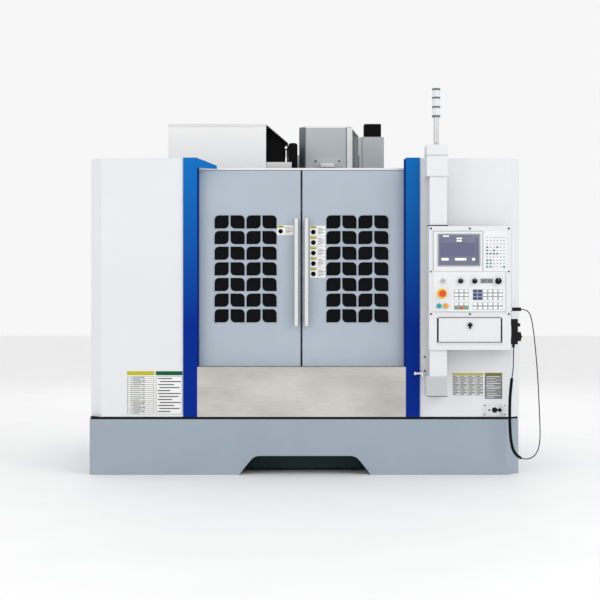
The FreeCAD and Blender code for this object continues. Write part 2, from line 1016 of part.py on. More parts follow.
def pillar(name, x):
    """A folded box pillar that is open at its foot."""
    body = prism(name, "XY", rectangle(x, pillar_y), *pillar_z)
    inside_x = (f"{x[0]} + pillar_wall", f"{x[1]} - pillar_wall")
    inside_y = (f"{pillar_y[0]} + pillar_wall", f"{pillar_y[1]} - pillar_wall")
    pocket(
        body,
        f"{name}_inside",
        "XY",
        rectangle(inside_x, inside_y),
        pillar_z[0],
        f"{pillar_z[1]} - pillar_wall",
    )
    return body


left_pillar = pillar("left_pillar", (f"{opening_left} - pillar_width", opening_left))
gusset = [
    (f"{opening_left} - pillar_wall", "gusset_root_bottom"),
    (f"{opening_left} + gusset_reach", "gusset_tip_bottom"),
    (f"{opening_left} + gusset_reach", "gusset_tip_top"),
    (f"{opening_left} - pillar_wall", pillar_z[1]),
]
add_prism(left_pillar, "gusset", "XZ", gusset, "-front_reach", "-front_reach + pillar_wall")
right_pillar = pillar("right_pillar", (opening_right, f"{opening_right} + pillar_width"))
node("pillars", group("pillars", [left_pillar, right_pillar]))

# Stainless apron under the doors, folded back at its top to the sill
apron_front = "(-front_reach + apron_setback)"
sill_top = "(door_bottom - door_gap)"
apron = [
    (apron_front, cover_bottom),
    (f"{apron_front} + apron_wall", cover_bottom),
    (f"{apron_front} + apron_wall", f"{sill_top} - apron_wall"),
    (f"{door_front} - door_gap", f"{sill_top} - apron_wall"),
    (f"{door_front} - door_gap", sill_top),
    (apron_front, sill_top),
]
node("apron", prism("apron", "YZ", apron, opening_left, opening_right))

rail_x = (f"-({half}) + left_panel_bevel", f"{half} - left_panel_bevel")
rail_y = (f"{door_front} - door_gap", f"{door_front} + rail_depth")
sill = span("door_sill", rail_x, rail_y, (f"{sill_top} - rail_height", sill_top))
header_z = ("door_top + door_gap", "door_top + door_gap + rail_height")
node("door_rails", group("door_rails", [sill, span("door_header", rail_x, rail_y, header_z)]))


# Sliding doors: a sheet with leaf-shaped window cells, each rounded at two opposite corners
leaf_seed = 86
corner_seed = 20


def leaf(body, name, left, low, leaning):
    """One window cell: leaning cells are rounded top left and bottom right, the others the other way."""
    sketch = sketch_on(body, f"{name}_outline", "XZ", between("XZ", door_front, door_back, True))
    right = f"({left}) + cell_width"
    high = f"({low}) + cell_height"
    round_low_left = not leaning
    start = FreeCAD.Vector
    corners = [
        (left, low, round_low_left),
        (right, low, leaning),
        (right, high, round_low_left),
        (left, high, leaning),
    ]
    way = {0: (1, 0), 1: (0, 1), 2: (-1, 0), 3: (0, -1)}
    ends = []
    for i, (x, z, rounded) in enumerate(corners):
        into = way[(i + 3) % 4]
        out = way[i]
        step = "cell_corner" if rounded else "0"
        ends.append(
            (
                (f"{x} - ({into[0]}) * {step}", f"{z} - ({into[1]}) * {step}"),
                (f"{x} + ({out[0]}) * {step}", f"{z} + ({out[1]}) * {step}"),
                rounded,
            )
        )
    seeds = [(0, 0), (leaf_seed, 0), (leaf_seed, leaf_seed), (0, leaf_seed)]
    lines = []
    for i in range(4):
        a = seeds[i]
        b = seeds[(i + 1) % 4]
        trim_a = corner_seed if corners[i][2] else 0
        trim_b = corner_seed if corners[(i + 1) % 4][2] else 0
        out = way[i]
        p = start(a[0] + out[0] * trim_a, a[1] + out[1] * trim_a, 0)
        q = start(b[0] - out[0] * trim_b, b[1] - out[1] * trim_b, 0)
        lines.append(sketch.addGeometry(Part.LineSegment(p, q), False))
    for i in range(4):
        for position, point in ((1, ends[i][1]), (2, ends[(i + 1) % 4][0])):
            if position == 2 and not corners[(i + 1) % 4][2]:
                continue
            seed = sketch.getPoint(lines[i], position)
            for kind, text, value in zip(("DistanceX", "DistanceY"), point, seed):
                number = sketch.addConstraint(Sketcher.Constraint(kind, -1, 1, lines[i], position, value))
                bind(sketch, f"Constraints[{number}]", text)
    for i in range(4):
        before = lines[(i + 3) % 4]
        if not corners[i][2]:
            sketch.addConstraint(Sketcher.Constraint("Coincident", before, 2, lines[i], 1))
            continue
        into = way[(i + 3) % 4]
        out = way[i]
        corner = start(seeds[i][0], seeds[i][1], 0)
        centre = corner + start(out[0] - into[0], out[1] - into[1], 0) * corner_seed
        turn = math.atan2(-out[1], -out[0])
        arc = Part.ArcOfCircle(Part.Circle(centre, start(0, 0, 1), corner_seed), turn, turn + math.pi / 2)
        number = sketch.addGeometry(arc, False)
        sketch.addConstraint(Sketcher.Constraint("Tangent", before, 2, number, 1))
        sketch.addConstraint(Sketcher.Constraint("Coincident", lines[i], 1, number, 2))
    feature = body.newObject("PartDesign::Pocket", name)
    feature.Profile = sketch
    bind(feature, "Length", "door_thickness")
    return feature


def spread(body, name, feature):
    """Repeats a cell across every second column and up every row."""
    across = body.newObject("PartDesign::LinearPattern", f"{name}_across")
    across.Direction = (origin_plane(body, "X_Axis"), [""])
    bind(across, "Length", "2 * cell_pitch_across * (cell_columns / 2 - 1)")
    bind(across, "Occurrences", "cell_columns / 2")
    up = body.newObject("PartDesign::LinearPattern", f"{name}_up")
    up.Direction = (origin_plane(body, "Z_Axis"), [""])
    bind(up, "Length", "cell_pitch_up * (cell_rows - 1)")
    bind(up, "Occurrences", "cell_rows")
    both = body.newObject("PartDesign::MultiTransform", name)
    both.Originals = [feature]
    both.Transformations = [across, up]
    body.Tip = both
    doc.recompute()


window_width = "(cell_pitch_across * (cell_columns - 1) + cell_width)"
window_height = "(cell_pitch_up * (cell_rows - 1) + cell_height)"


def door(side):
    """A door, its pane and its handle. The left door's inner edge and the right door's meet at the middle."""
    left = side == "left"
    name = f"{side}_door"
    inner = f"{middle} - door_gap / 2" if left else f"{middle} + door_gap / 2"
    outer = f"{opening_left} - door_overlap" if left else f"{opening_right} + door_overlap"
    x = (outer, inner) if left else (inner, outer)
    body = prism(name, "XZ", rectangle(x, ("door_bottom", "door_top")), door_front, door_back)
    window = f"({middle} + window_from_middle)"
    if left:
        window = f"({middle} - window_from_middle - {window_width})"
    for leaning, column in ((True, 0), (False, 1)):
        volume = body.Shape.Volume
        cell_name = f"{side}_cell_{column}"
        cell = leaf(body, cell_name, f"{window} + {column} * cell_pitch_across", "window_bottom", leaning)
        doc.recompute()
        spread(body, f"{cell_name}_all", cell)
        if body.Shape.Volume > volume - 1:
            raise ValueError(f"{cell_name} cut nothing")
    node(name, body)
    node(
        f"{side}_pane",
        span(
            f"{side}_pane",
            (f"{window} - pane_margin", f"{window} + {window_width} + pane_margin"),
            (door_back, f"{door_back} + pane_thickness"),
            ("window_bottom - pane_margin", f"window_bottom + {window_height} + pane_margin"),
        ),
    )
    grip = (
        f"{middle} - handle_from_middle - handle_width" if left else f"{middle} + handle_from_middle",
        f"{middle} - handle_from_middle" if left else f"{middle} + handle_from_middle + handle_width",
    )
    top = "handle_bottom + handle_length"
    bar = span(
        f"{side}_bar",
        grip,
        (f"{door_front} - handle_standoff", f"{door_front} - handle_standoff + handle_depth"),
        ("handle_bottom", top),
    )
    legs = []
    for i, z in enumerate(
        (
            "handle_bottom + handle_foot_inset",
            f"{top} - handle_foot_inset - handle_width",
        )
    ):
        legs.append(
            span(
                f"{side}_leg_{i}",
                (f"({grip[0]}) + handle_foot_margin", f"({grip[1]}) - handle_foot_margin"),
                (f"{door_front} - handle_standoff + handle_depth", door_front),
                (z, f"{z} + handle_width"),
            )
        )
    node(f"{side}_handle", joined(f"{side}_handle", bar, *legs))


door("left")
door("right")

# ---------------------------------------------------------------- top of the machine
cooler_x = ("cooler_left", "cooler_left + cooler_width")
cooler_y = ("cooler_front", "cooler_front + cooler_depth")
cooler_housing = span("cooler_housing", cooler_x, cooler_y, ("cooler_bottom", "cooler_top"))
fan_x = ("cooler_left + fan_inset", "cooler_left + fan_inset + fan_width")
fan_y = ("cooler_front", "cooler_front + fan_width")
cooler_fan = span("cooler_fan", fan_x, fan_y, ("cooler_top", "cooler_top + fan_height"))
node("cooler_unit", group("cooler_unit", [cooler_housing, cooler_fan]))

# Tool magazine: a sheet cover with its front open at the right end, a beam, a carriage and a carousel
roof = ("magazine_top", "magazine_low_corner")
cover_outline = [
    ("-magazine_left", "magazine_bottom"),
    ("-magazine_right", "magazine_bottom"),
    ("-magazine_right", roof[1]),
    ("-magazine_corner", roof[0]),
    ("-magazine_left", roof[0]),
]
cover_hollow = [
    ("-magazine_left + magazine_wall", "magazine_bottom"),
    ("-magazine_right", "magazine_bottom"),
    ("-magazine_right", f"{roof[1]} - magazine_wall"),
    ("-magazine_corner", f"{roof[0]} - magazine_wall"),
    ("-magazine_left + magazine_wall", f"{roof[0]} - magazine_wall"),
]
cover_mouth = [
    ("-magazine_corner", "magazine_bottom"),
    ("-magazine_right", "magazine_bottom"),
    ("-magazine_right", f"{roof[1]} - magazine_wall"),
    ("-magazine_corner", f"{roof[0]} - magazine_wall"),
]
magazine = prism("magazine_cover", "XZ", cover_outline, "-magazine_front", "magazine_back")
pocket(
    magazine,
    "magazine_hollow",
    "XZ",
    cover_hollow,
    "-magazine_front + magazine_wall",
    "magazine_back - magazine_wall",
)
pocket(magazine, "magazine_mouth", "XZ", cover_mouth, "-magazine_front", "-magazine_front + magazine_wall")
node("magazine_cover", magazine)

# The beam is carried by an arm that reaches forward from the column, and posts on it carry the cover
beam_top = "(beam_bottom + beam_height)"
beam = span(
    "beam_bar",
    ("-magazine_left + magazine_wall", "-beam_right"),
    ("beam_front", "beam_front + beam_depth"),
    ("beam_bottom", beam_top),
)
arm_x = ("-beam_right - 2 * beam_depth", "-beam_right")
arm = span("beam_arm", arm_x, ("beam_front", "column_front + beam_depth"), ("beam_bottom", beam_top))
arm_foot = span(
    "beam_foot",
    arm_x,
    ("column_front", "column_front + beam_depth"),
    ("beam_bottom", beam_top),
)
posts = []
for i, x in enumerate(("-magazine_left + magazine_wall", "-magazine_corner - beam_depth")):
    posts.append(
        span(
            f"cover_post_{i}",
            (x, f"{x} + beam_depth"),
            ("beam_front", "beam_front + beam_depth"),
            (beam_top, f"{roof[0]} - magazine_wall"),
        )
    )
node("magazine_beam", joined("magazine_beam", beam, arm, arm_foot, *posts))

hub_at = ("-carousel_centre", "spindle_deep")
carriage_x = ("-carousel_centre - carriage_left", "-carousel_centre + carriage_right")
carriage_face = span(
    "carriage_face",
    carriage_x,
    ("beam_front - slide_gap - carriage_plate", "beam_front - slide_gap"),
    ("carriage_bottom", beam_top),
)
carriage_shelf = span(
    "carriage_shelf",
    carriage_x,
    ("spindle_deep - hub_radius", "beam_front - slide_gap"),
    ("carriage_bottom", "carriage_bottom + carriage_plate"),
)
axle_z = "(carousel_bottom + carousel_thickness)"
axle = rod("carriage_axle", (*hub_at, axle_z), "hub_radius / 2", f"carriage_bottom - {axle_z}")
node("magazine_carriage", joined("magazine_carriage", carriage_face, carriage_shelf, axle))

plate = rod("disc_plate", (*hub_at, "carousel_bottom"), "carousel_radius", "carousel_thickness")
hub_z = f"{axle_z}"
hub = rod(
    "disc_hub",
    (*hub_at, hub_z),
    "hub_radius",
    "carriage_bottom - 2 * slide_gap - carousel_bottom - carousel_thickness",
)
bore = rod("disc_bore", (*hub_at, hub_z), "hub_radius / 2 + slide_gap", "carriage_bottom - carousel_bottom")
slots = []
tool_places = []
for i in range(int(size("tool_count"))):
    turn = 360 * i / size("tool_count")
    along = (f"cos({turn})", f"sin({turn})")
    slot_bar = doc.addObject("Part::Box", f"tool_slot_{i}")
    bind(slot_bar, "Length", "carousel_radius")
    bind(slot_bar, "Width", "2 * tool_slot_half")
    bind(slot_bar, "Height", "carousel_thickness")
    slot_bar.Placement.Rotation = FreeCAD.Rotation(FreeCAD.Vector(0, 0, 1), turn)
    tool_at = (
        f"{hub_at[0]} + tool_circle * {along[0]}",
        f"{hub_at[1]} + tool_circle * {along[1]}",
    )
    place(
        slot_bar,
        (
            f"{tool_at[0]} + tool_slot_half * {along[1]}",
            f"{tool_at[1]} - tool_slot_half * {along[0]}",
            "carousel_bottom",
        ),
    )
    slots.append(slot_bar)
    slots.append(
        rod(
            f"tool_seat_{i}",
            (*tool_at, "carousel_bottom"),
            "tool_slot_half",
            "carousel_thickness",
        )
    )
    tool_places.append(tool_at)
disc = joined("disc", cut("slotted_plate", plate, *slots), hub)
node("magazine_disc", cut("magazine_disc", disc, bore))


def tool(name, x, y, drop):
    """A taper holder: lower flange, gripping groove, upper flange, taper, collet nut and end mill."""
    def section(part_name, radius, low, high):
        return rod(f"{name}_{part_name}", (x, y, f"{low} - {drop}"), radius, f"{high} - ({low})")
    return joined(
        name,
        section("mill", "mill_radius", "flange_bottom - collet_length - mill_length", "flange_bottom"),
        section("collet", "collet_radius", "flange_bottom - collet_length", "flange_bottom"),
        section("flange", "flange_radius", "flange_bottom", "groove_bottom"),
        section("groove", "groove_radius", "groove_bottom", "groove_top"),
        section("collar", "flange_radius", "groove_top", "flange_top"),
        section("neck", "taper_radius - taper_gap", "flange_top", "spindle_nose"),
        cone(
            f"{name}_taper",
            (x, y, f"spindle_nose - {drop}"),
            "taper_radius - taper_gap",
            "taper_radius - taper_gap - (taper_depth - taper_short) * taper_rise / taper_run",
            "taper_depth - taper_short",
        ),
    )


node("spindle_tool", tool("spindle_tool", "spindle_across", "spindle_deep", "0"))
seated = "(groove_top - carousel_bottom - carousel_thickness)"
empty_seats = (0, len(tool_places) // 2)
held = []
for i, tool_at in enumerate(tool_places):
    if i not in empty_seats:
        held.append(tool(f"tool_{i}", *tool_at, seated))
node("magazine_tools", group("magazine_tools", held))

# ---------------------------------------------------------------- swinging control panel
post_front = "(-post_deep)"
post_x = ("post_across - post_half_width", "post_across + post_half_width")
post_y = (f"{post_front} - post_half_width", f"{post_front} + post_half_width")


def hollow(name, x, y, z, wall, open_back=False):
    """A sheet box between two faces along each axis, open at its back or closed."""
    inner_x = (f"{x[0]} + {wall}", f"{x[1]} - {wall}")
    inner_y = (f"{y[0]} + {wall}", y[1] if open_back else f"{y[1]} - {wall}")
    inner_z = (f"{z[0]} + {wall}", f"{z[1]} - {wall}")
    return cut(name, span(f"{name}_outer", x, y, z), span(f"{name}_inner", inner_x, inner_y, inner_z))


bracket_y = ("-bracket_front", cover_front)
brackets = []
for which, low, high in (("upper", "bracket_bottom", "bracket_top"), ("lower", "foot_bottom", "foot_top")):
    bracket = hollow(
        f"{which}_shell",
        ("bracket_left", "bracket_right"),
        bracket_y,
        (low, high),
        "box_wall",
        True,
    )
    pin_z = f"{low} - pin_length" if which == "upper" else high
    pin = rod(f"{which}_pin", ("post_across", post_front, pin_z), "pin_radius", "pin_length")
    brackets.append(joined(f"{which}_bracket", bracket, pin))
node("panel_brackets", group("panel_brackets", brackets))

post_parts = []
for which, low, high, plate_z in (
    ("upper", "box_top", "bracket_bottom - post_gap", "bracket_bottom - post_gap - post_plate"),
    ("lower", "foot_top + post_gap", "box_bottom", "foot_top + post_gap"),
):
    tube = span(f"{which}_tube", post_x, post_y, (low, high))
    core_x = (f"{post_x[0]} + post_wall", f"{post_x[1]} - post_wall")
    core_y = (f"{post_y[0]} + post_wall", f"{post_y[1]} - post_wall")
    core_z = (low, plate_z) if which == "upper" else (f"{plate_z} + post_plate", high)
    core = span(f"{which}_core", core_x, core_y, core_z)
    hole = rod(f"{which}_hole", ("post_across", post_front, plate_z), "pin_radius + pin_gap", "post_plate")
    post_parts.append(cut(f"{which}_post", tube, core, hole))
node("control_post", group("control_post", post_parts))

box_x = ("box_left", "box_right")
box_face = "(-box_front)"
box_y = (box_face, "-box_back")
inner_x = ("box_left + box_wall", "box_right - box_wall")
inner_y = (f"{box_face} + box_wall", "-box_back - box_wall")
upper_room = span("upper_room", inner_x, inner_y, ("box_shelf + box_wall", "box_top - box_wall"))
lower_room = span("lower_room", inner_x, inner_y, ("box_bottom + box_wall", "box_shelf"))
face_y = (box_face, f"{box_face} + box_wall")
mouth = span("store_mouth", ("store_left", "store_right"), face_y, ("store_bottom", "store_top"))
panel_hole = span(
    "panel_hole",
    ("plate_left + plate_margin", "plate_right - plate_margin"),
    face_y,
    ("plate_bottom + plate_margin", "plate_top - plate_margin"),
)
display_x = ("plate_left + plate_margin", "display_right - plate_margin")
display_z = ("display_bottom + plate_margin", "display_top - plate_margin")
display_hole = span("display_hole", display_x, face_y, display_z)
shell = cut(
    "control_shell",
    span("control_block", box_x, box_y, ("box_bottom", "box_top")),
    upper_room,
    lower_room,
    mouth,
    panel_hole,
    display_hole,
)
barrel_y = f"({box_face} - flap_gap - flap_thickness + 1)"
lugs = []
hinge_height = "(store_bottom - hinge_drop)"
pin_line = ("store_left", barrel_y, hinge_height)
for i, x in enumerate(("store_left", "store_right - lug_length")):
    lugs.append(
        span(
            f"hinge_lug_{i}",
            (x, f"{x} + lug_length"),
            (f"{barrel_y} - barrel_radius", box_face),
            (f"{hinge_height} - barrel_radius", f"{hinge_height} + barrel_radius"),
        )
    )
hinge_pin = rod("hinge_pin", pin_line, "hinge_pin_radius", "store_right - store_left", "x")
pendant_y = ("-post_deep - pendant_half_width", "-post_deep + pendant_half_width")
holder = span(
    "pendant_holder",
    ("box_right", "box_right + holder_width"),
    pendant_y,
    ("pendant_bottom + pendant_half_width", "pendant_top - pendant_half_width"),
)
node("control_box", joined("control_box", shell, *lugs, hinge_pin, holder))

plate_y = (f"{box_face} - plate_thickness", box_face)
display_face = span(
    "display_face",
    ("plate_left", "display_right"),
    plate_y,
    ("display_bottom", "display_top"),
)
display_body = span("display_body", display_x, (box_face, f"{box_face} + display_depth"), display_z)
node("display_unit", joined("display_unit", display_face, display_body))

plate_front = f"({box_face} - plate_thickness)"
controls = (
    ("emergency_button", "stop_across", "stop_height"),
    ("teal_button", "lit_left", "lit_height"),
    ("amber_button", "lit_right", "lit_height"),
    ("key_switch", "key_across", "knob_height"),
    ("feed_knob", "feed_across", "knob_height"),
    ("speed_knob", "speed_across", "knob_height"),
    ("mode_dial", "mode_across", "knob_height"),
)
stem_holes = []
for name, x, z in controls:
    stem_holes.append(
        rod(
            f"{name}_hole",
            (x, plate_front, z),
            "control_stem + control_gap",
            "plate_thickness",
            "y",
        )
    )
panel_plate = span("panel_plate", ("plate_left", "plate_right"), plate_y, ("plate_bottom", "plate_top"))
node("operator_panel", cut("operator_panel", panel_plate, *stem_holes))


def control(name, x, z, radius, low, high, grip=False):
    """A button or knob on a stem through the plate. low and high are its head's distances from the plate."""
    head = rod(f"{name}_head", (x, f"{plate_front} - ({high})", z), radius, f"{high} - ({low})", "y")
    stem = rod(
        f"{name}_stem",
        (x, f"{plate_front} - ({low})", z),
        "control_stem",
        f"{low} + stem_depth",
        "y",
    )
    pieces = [head, stem]
    if grip:
        pieces.append(
            span(
                f"{name}_grip",
                (f"{x} - grip_half", f"{x} + grip_half"),
                (f"{plate_front} - ({high}) - grip_rise", f"{plate_front} - ({high})"),
                (f"{z} - {radius}", f"{z} + {radius}"),
            )
        )
    return joined(name, *pieces)


heads = {
    "emergency_button": ("stop_radius", "stop_rise - stop_cap", "stop_rise", False),
    "teal_button": ("lit_radius", "lit_gap", "lit_rise", False),
    "amber_button": ("lit_radius", "lit_gap", "lit_rise", False),
    "key_switch": ("key_radius", "control_gap", "knob_rise / 2", True),
    "feed_knob": ("knob_radius", "control_gap", "knob_rise", True),
    "speed_knob": ("knob_radius", "control_gap", "knob_rise", True),
    "mode_dial": ("dial_radius", "control_gap", "knob_rise", True),
}
for name, x, z in controls:
    node(name, control(name, x, z, *heads[name]))

# Storage flap: hangs on the pin at its lower edge and carries a turning latch
flap_y = (f"{box_face} - flap_gap - flap_thickness", f"{box_face} - flap_gap")
barrel_x = "store_left + lug_length + lug_gap"
barrel_length = "store_right - store_left - 2 * lug_length - 2 * lug_gap"
flap_sheet = span(
    "flap_sheet",
    (barrel_x, f"{barrel_x} + {barrel_length}"),
    flap_y,
    (hinge_height, "store_top + flap_overlap"),
)
barrel = rod(
    "flap_barrel",
    (barrel_x, barrel_y, hinge_height),
    "barrel_radius - slide_gap",
    barrel_length,
    "x",
)
barrel_bore = rod(
    "barrel_bore",
    (barrel_x, barrel_y, hinge_height),
    "hinge_pin_radius + pin_gap",
    barrel_length,
    "x",
)
latch_at = ("latch_across", f"{flap_y[0]}", "latch_height")
latch_hole = rod("latch_hole", latch_at, "control_stem + pin_gap", "flap_thickness", "y")
node("storage_flap", cut("storage_flap", joined("flap_body", flap_sheet, barrel), barrel_bore, latch_hole))
latch_disc = rod(
    "latch_disc",
    ("latch_across", f"{flap_y[0]} - control_gap - latch_rise / 3", "latch_height"),
    "latch_radius",
    "latch_rise / 3",
    "y",
)
latch_bar = span(
    "latch_bar",
    ("latch_across - grip_half", "latch_across + grip_half"),
    (f"{flap_y[0]} - latch_rise", f"{flap_y[0]} - latch_rise / 2"),
    ("latch_height - latch_radius", "latch_height + latch_radius"),
)
latch_stem = rod(
    "latch_stem",
    ("latch_across", f"{flap_y[0]} - latch_rise", "latch_height"),
    "control_stem",
    "latch_rise + flap_thickness + latch_rise",
    "y",
)
node("flap_latch", joined("flap_latch", latch_disc, latch_bar, latch_stem))

# Signal lamp on the upper bracket
lamp_base = ("lamp_across", "-lamp_deep", "bracket_top")
node("lamp_pole", rod("lamp_pole", lamp_base, "lamp_pole_radius", "lamp_pole_height"))
lamp_at = ("lamp_across", "-lamp_deep", "bracket_top + lamp_pole_height")
node("signal_lamp", rod("signal_lamp", lamp_at, "lamp_radius", "lamp_height"))

# ---------------------------------------------------------------- hand pendant and its cord
pendant_x = ("box_right + holder_width", "box_right + holder_width + pendant_thickness")
case = span("pendant_case", pendant_x, pendant_y, ("pendant_bottom", "pendant_top"))
gland_x = "(box_right + holder_width + pendant_thickness / 2)"
gland = rod(
    "gland",
    (gland_x, "-post_deep", "pendant_bottom - gland_length"),
    "gland_radius",
    "gland_length",
)
dials = (
    ("pendant_wheel", "0", "wheel_height", "wheel_radius", "wheel_rise"),
    ("axis_selector", "selector_spread", "selector_height", "selector_radius", "selector_rise"),
    ("step_selector", "-selector_spread", "selector_height", "selector_radius", "selector_rise"),
)
dial_holes = []
for name, shift, z, radius, rise in dials:
    start = (f"{pendant_x[1]} - stem_depth", f"-post_deep + {shift}", z)
    dial_holes.append(rod(f"{name}_hole", start, "control_stem / 2 + control_gap", "stem_depth", "x"))
node("pendant", cut("pendant", joined("pendant_body", case, gland), *dial_holes))
for name, shift, z, radius, rise in dials:
    deep = f"-post_deep + {shift}"
    head = rod(f"{name}_head", (f"{pendant_x[1]} + control_gap", deep, z), radius, rise, "x")
    stem = rod(
        f"{name}_stem",
        (f"{pendant_x[1]} - stem_depth + control_gap", deep, z),
        "control_stem / 2",
        "stem_depth",
        "x",
    )
    node(name, joined(name, head, stem))

socket_at = ("box_right", "-post_deep", "socket_height")
node("cord_connector", rod("cord_connector", socket_at, "socket_radius", "socket_length", "x"))


bend_share = 0.45


def cord_tube(name, points, radius):
    """A tube along straight runs joined by tangent arcs. Points are across and up, in the pendant's plane."""
    deep = -size("post_deep")
    line = [FreeCAD.Vector(x, deep, z) for x, z in points]
    edges = []
    start = line[0]
    shortest = 0
    for before, corner, after in zip(line, line[1:], line[2:]):
        run_in = corner - before
        run_out = after - corner
        turn = run_in.getAngle(run_out)
        reach = bend_share * min(run_in.Length, run_out.Length)
        bend = reach / math.tan(turn / 2)
        shortest = min(shortest, bend) if shortest else bend
        unit_in = FreeCAD.Vector(run_in).normalize()
        unit_out = FreeCAD.Vector(run_out).normalize()
        arc_start = corner - unit_in * reach
        arc_end = corner + unit_out * reach
        inward = (unit_out - unit_in).normalize()
        to_centre = bend / math.cos(turn / 2)
        arc_middle = corner + inward * (to_centre - bend)
        edges.append(Part.LineSegment(start, arc_start).toShape())
        edges.append(Part.Arc(arc_start, arc_middle, arc_end).toShape())
        start = arc_end
    edges.append(Part.LineSegment(start, line[-1]).toShape())
    path = Part.Wire(edges)
    circle = Part.Wire([Part.Circle(line[0], line[1] - line[0], radius).toShape()])
    solid = path.makePipeShell([circle], True, False)
    print(f"{name}: tightest arc {shortest:.0f}, length {path.Length:.0f}")
    section = math.pi * radius**2
    print(f"{name}: volume over section times length {solid.Volume / (section * path.Length):.4f}")
    thing = doc.addObject("Part::Feature", name)
    thing.Shape = solid
    return node(name, thing)


plug_end = (size("box_right") + size("socket_length"), size("socket_height"))
gland_end = (
    size("box_right") + size("holder_width") + size("pendant_thickness") / 2,
    size("pendant_bottom") - size("gland_length"),
)
lead = [
    plug_end,
    (1322, 995),
    (1343, 965),
    (1352, 925),
    (1362, 865),
    (1371, 785),
    (1379, 695),
    (1386, 606),
    (1391, 516),
    (1395, 426),
    (1399, 337),
    (1401, 250),
    (1398, 200),
    (1388, 155),
    (1364, 120),
    (1330, 104),
]
curl_start = (1290, 108)
curl_end = (1233, 590)
curl = [curl_start, (1256, 128), (1234, 172), (1223, 245), (1219, 350), (1220, 455), (1226, 530), curl_end]
tail = [curl_end, (1238, 622), (1241, 660), (gland_end[0], 715), gland_end]
cord_tube("cord_lead", [*lead, curl_start], size("cord_radius"))
cord_tube("cord_curl", curl, size("curl_radius"))
cord_tube("cord_tail", tail, size("cord_radius"))

# ---------------------------------------------------------------- rear and underside
cabinet_x = ("-cabinet_half_width", "cabinet_half_width")
cabinet_shell = hollow(
    "electrical_cabinet",
    cabinet_x,
    ("cabinet_front", "cabinet_back"),
    (cover_bottom, "cabinet_top"),
    "sheet_wall",
    True,
)
node("electrical_cabinet", cabinet_shell)
door_x = ("-cabinet_half_width + slide_gap", "cabinet_half_width - slide_gap")
door_z = (f"{cover_bottom} + slide_gap", "cabinet_top")
door_sheet_y = ("cabinet_back + slide_gap", "cabinet_back + slide_gap + cabinet_door")
door_sheet = span("cabinet_sheet", door_x, door_sheet_y, door_z)
cabinet_handle = span(
    "cabinet_handle",
    ("-cabinet_half_width + 2 * cabinet_handle_width", "-cabinet_half_width + 3 * cabinet_handle_width"),
    (door_sheet_y[1], f"{door_sheet_y[1]} + cabinet_handle_reach"),
    ("(base_height + cabinet_top) / 2", "(base_height + cabinet_top) / 2 + cabinet_handle_height"),
)
barrel_z = (
    f"{cover_bottom} + cabinet_barrel_inset",
    "(base_height + cabinet_top) / 2",
    "cabinet_top - cabinet_barrel_inset - cabinet_barrel_length",
)
barrels = []
for i, z in enumerate(barrel_z):
    at = (door_x[1], door_sheet_y[1], z)
    barrels.append(rod(f"cabinet_barrel_{i}", at, "cabinet_barrel_radius", "cabinet_barrel_length"))
node("cabinet_door", joined("cabinet_door", door_sheet, cabinet_handle, *barrels))

tank_x = ("-tank_half_width", "tank_half_width")
tank_y = ("-tank_front", "-tank_back")
tank_block = span("tank_block", tank_x, tank_y, ("tank_foot", "tank_top"))
tank_room = span(
    "tank_room",
    ("-tank_half_width + tank_wall", "tank_half_width - tank_wall"),
    ("-tank_front + tank_wall", "-tank_back - tank_wall"),
    ("tank_foot + tank_wall", "tank_top"),
)
tank_pads = []
for i, x in enumerate(("-tank_half_width", "tank_half_width - foot_radius")):
    tank_pads.append(span(f"tank_pad_{i}", (x, f"{x} + foot_radius"), tank_y, ("0", "tank_foot")))
node("coolant_tank", joined("coolant_tank", cut("tank_shell", tank_block, tank_room), *tank_pads))

# ---------------------------------------------------------------- check and write
doc.recompute()
for thing in doc.Objects:
    if "Invalid" in thing.State or "Error" in thing.State:
        raise ValueError(f"{thing.Name} did not build: {thing.State}")
for name, thing in nodes.items():
    if thing.Shape.isNull() or not thing.Shape.isValid():
        raise ValueError(f"{name} has no sound shape")
for name, thing in nodes.items():
    thing.Shape.exportStep(f"parts/{name}.step")
print(f"{len(nodes)} nodes")
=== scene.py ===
import bmesh
import bpy
import json
import math
from mathutils import Matrix, Vector


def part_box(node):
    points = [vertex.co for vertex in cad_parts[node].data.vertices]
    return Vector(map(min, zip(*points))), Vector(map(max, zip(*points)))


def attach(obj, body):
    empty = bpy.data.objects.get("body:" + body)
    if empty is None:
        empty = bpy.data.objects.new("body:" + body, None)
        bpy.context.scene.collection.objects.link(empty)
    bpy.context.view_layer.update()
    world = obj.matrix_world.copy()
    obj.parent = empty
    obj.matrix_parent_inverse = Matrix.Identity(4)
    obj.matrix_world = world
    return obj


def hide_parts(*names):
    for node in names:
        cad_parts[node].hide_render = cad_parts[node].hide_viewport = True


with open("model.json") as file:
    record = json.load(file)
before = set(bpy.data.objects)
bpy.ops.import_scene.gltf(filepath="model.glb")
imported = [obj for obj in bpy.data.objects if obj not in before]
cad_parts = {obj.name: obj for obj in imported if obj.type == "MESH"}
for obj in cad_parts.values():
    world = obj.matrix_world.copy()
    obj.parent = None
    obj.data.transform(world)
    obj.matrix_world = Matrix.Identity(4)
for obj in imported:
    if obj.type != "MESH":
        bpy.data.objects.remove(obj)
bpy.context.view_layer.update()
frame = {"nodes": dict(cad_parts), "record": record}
print("frame loaded")

up = Vector((0, 0, 1))
scene = bpy.context.scene

cameraSetup = {"place": (-0.03, -8.98, 1.053), "lens": 79.7, "sensor": 36}

cameraData = bpy.data.cameras.new("camera")
cameraData.lens = cameraSetup["lens"]
cameraData.sensor_width = cameraSetup["sensor"]
cameraObject = bpy.data.objects.new("camera", cameraData)
cameraObject.location = cameraSetup["place"]
cameraObject.rotation_euler = (math.radians(90), 0, 0)
scene.collection.objects.link(cameraObject)
scene.camera = cameraObject

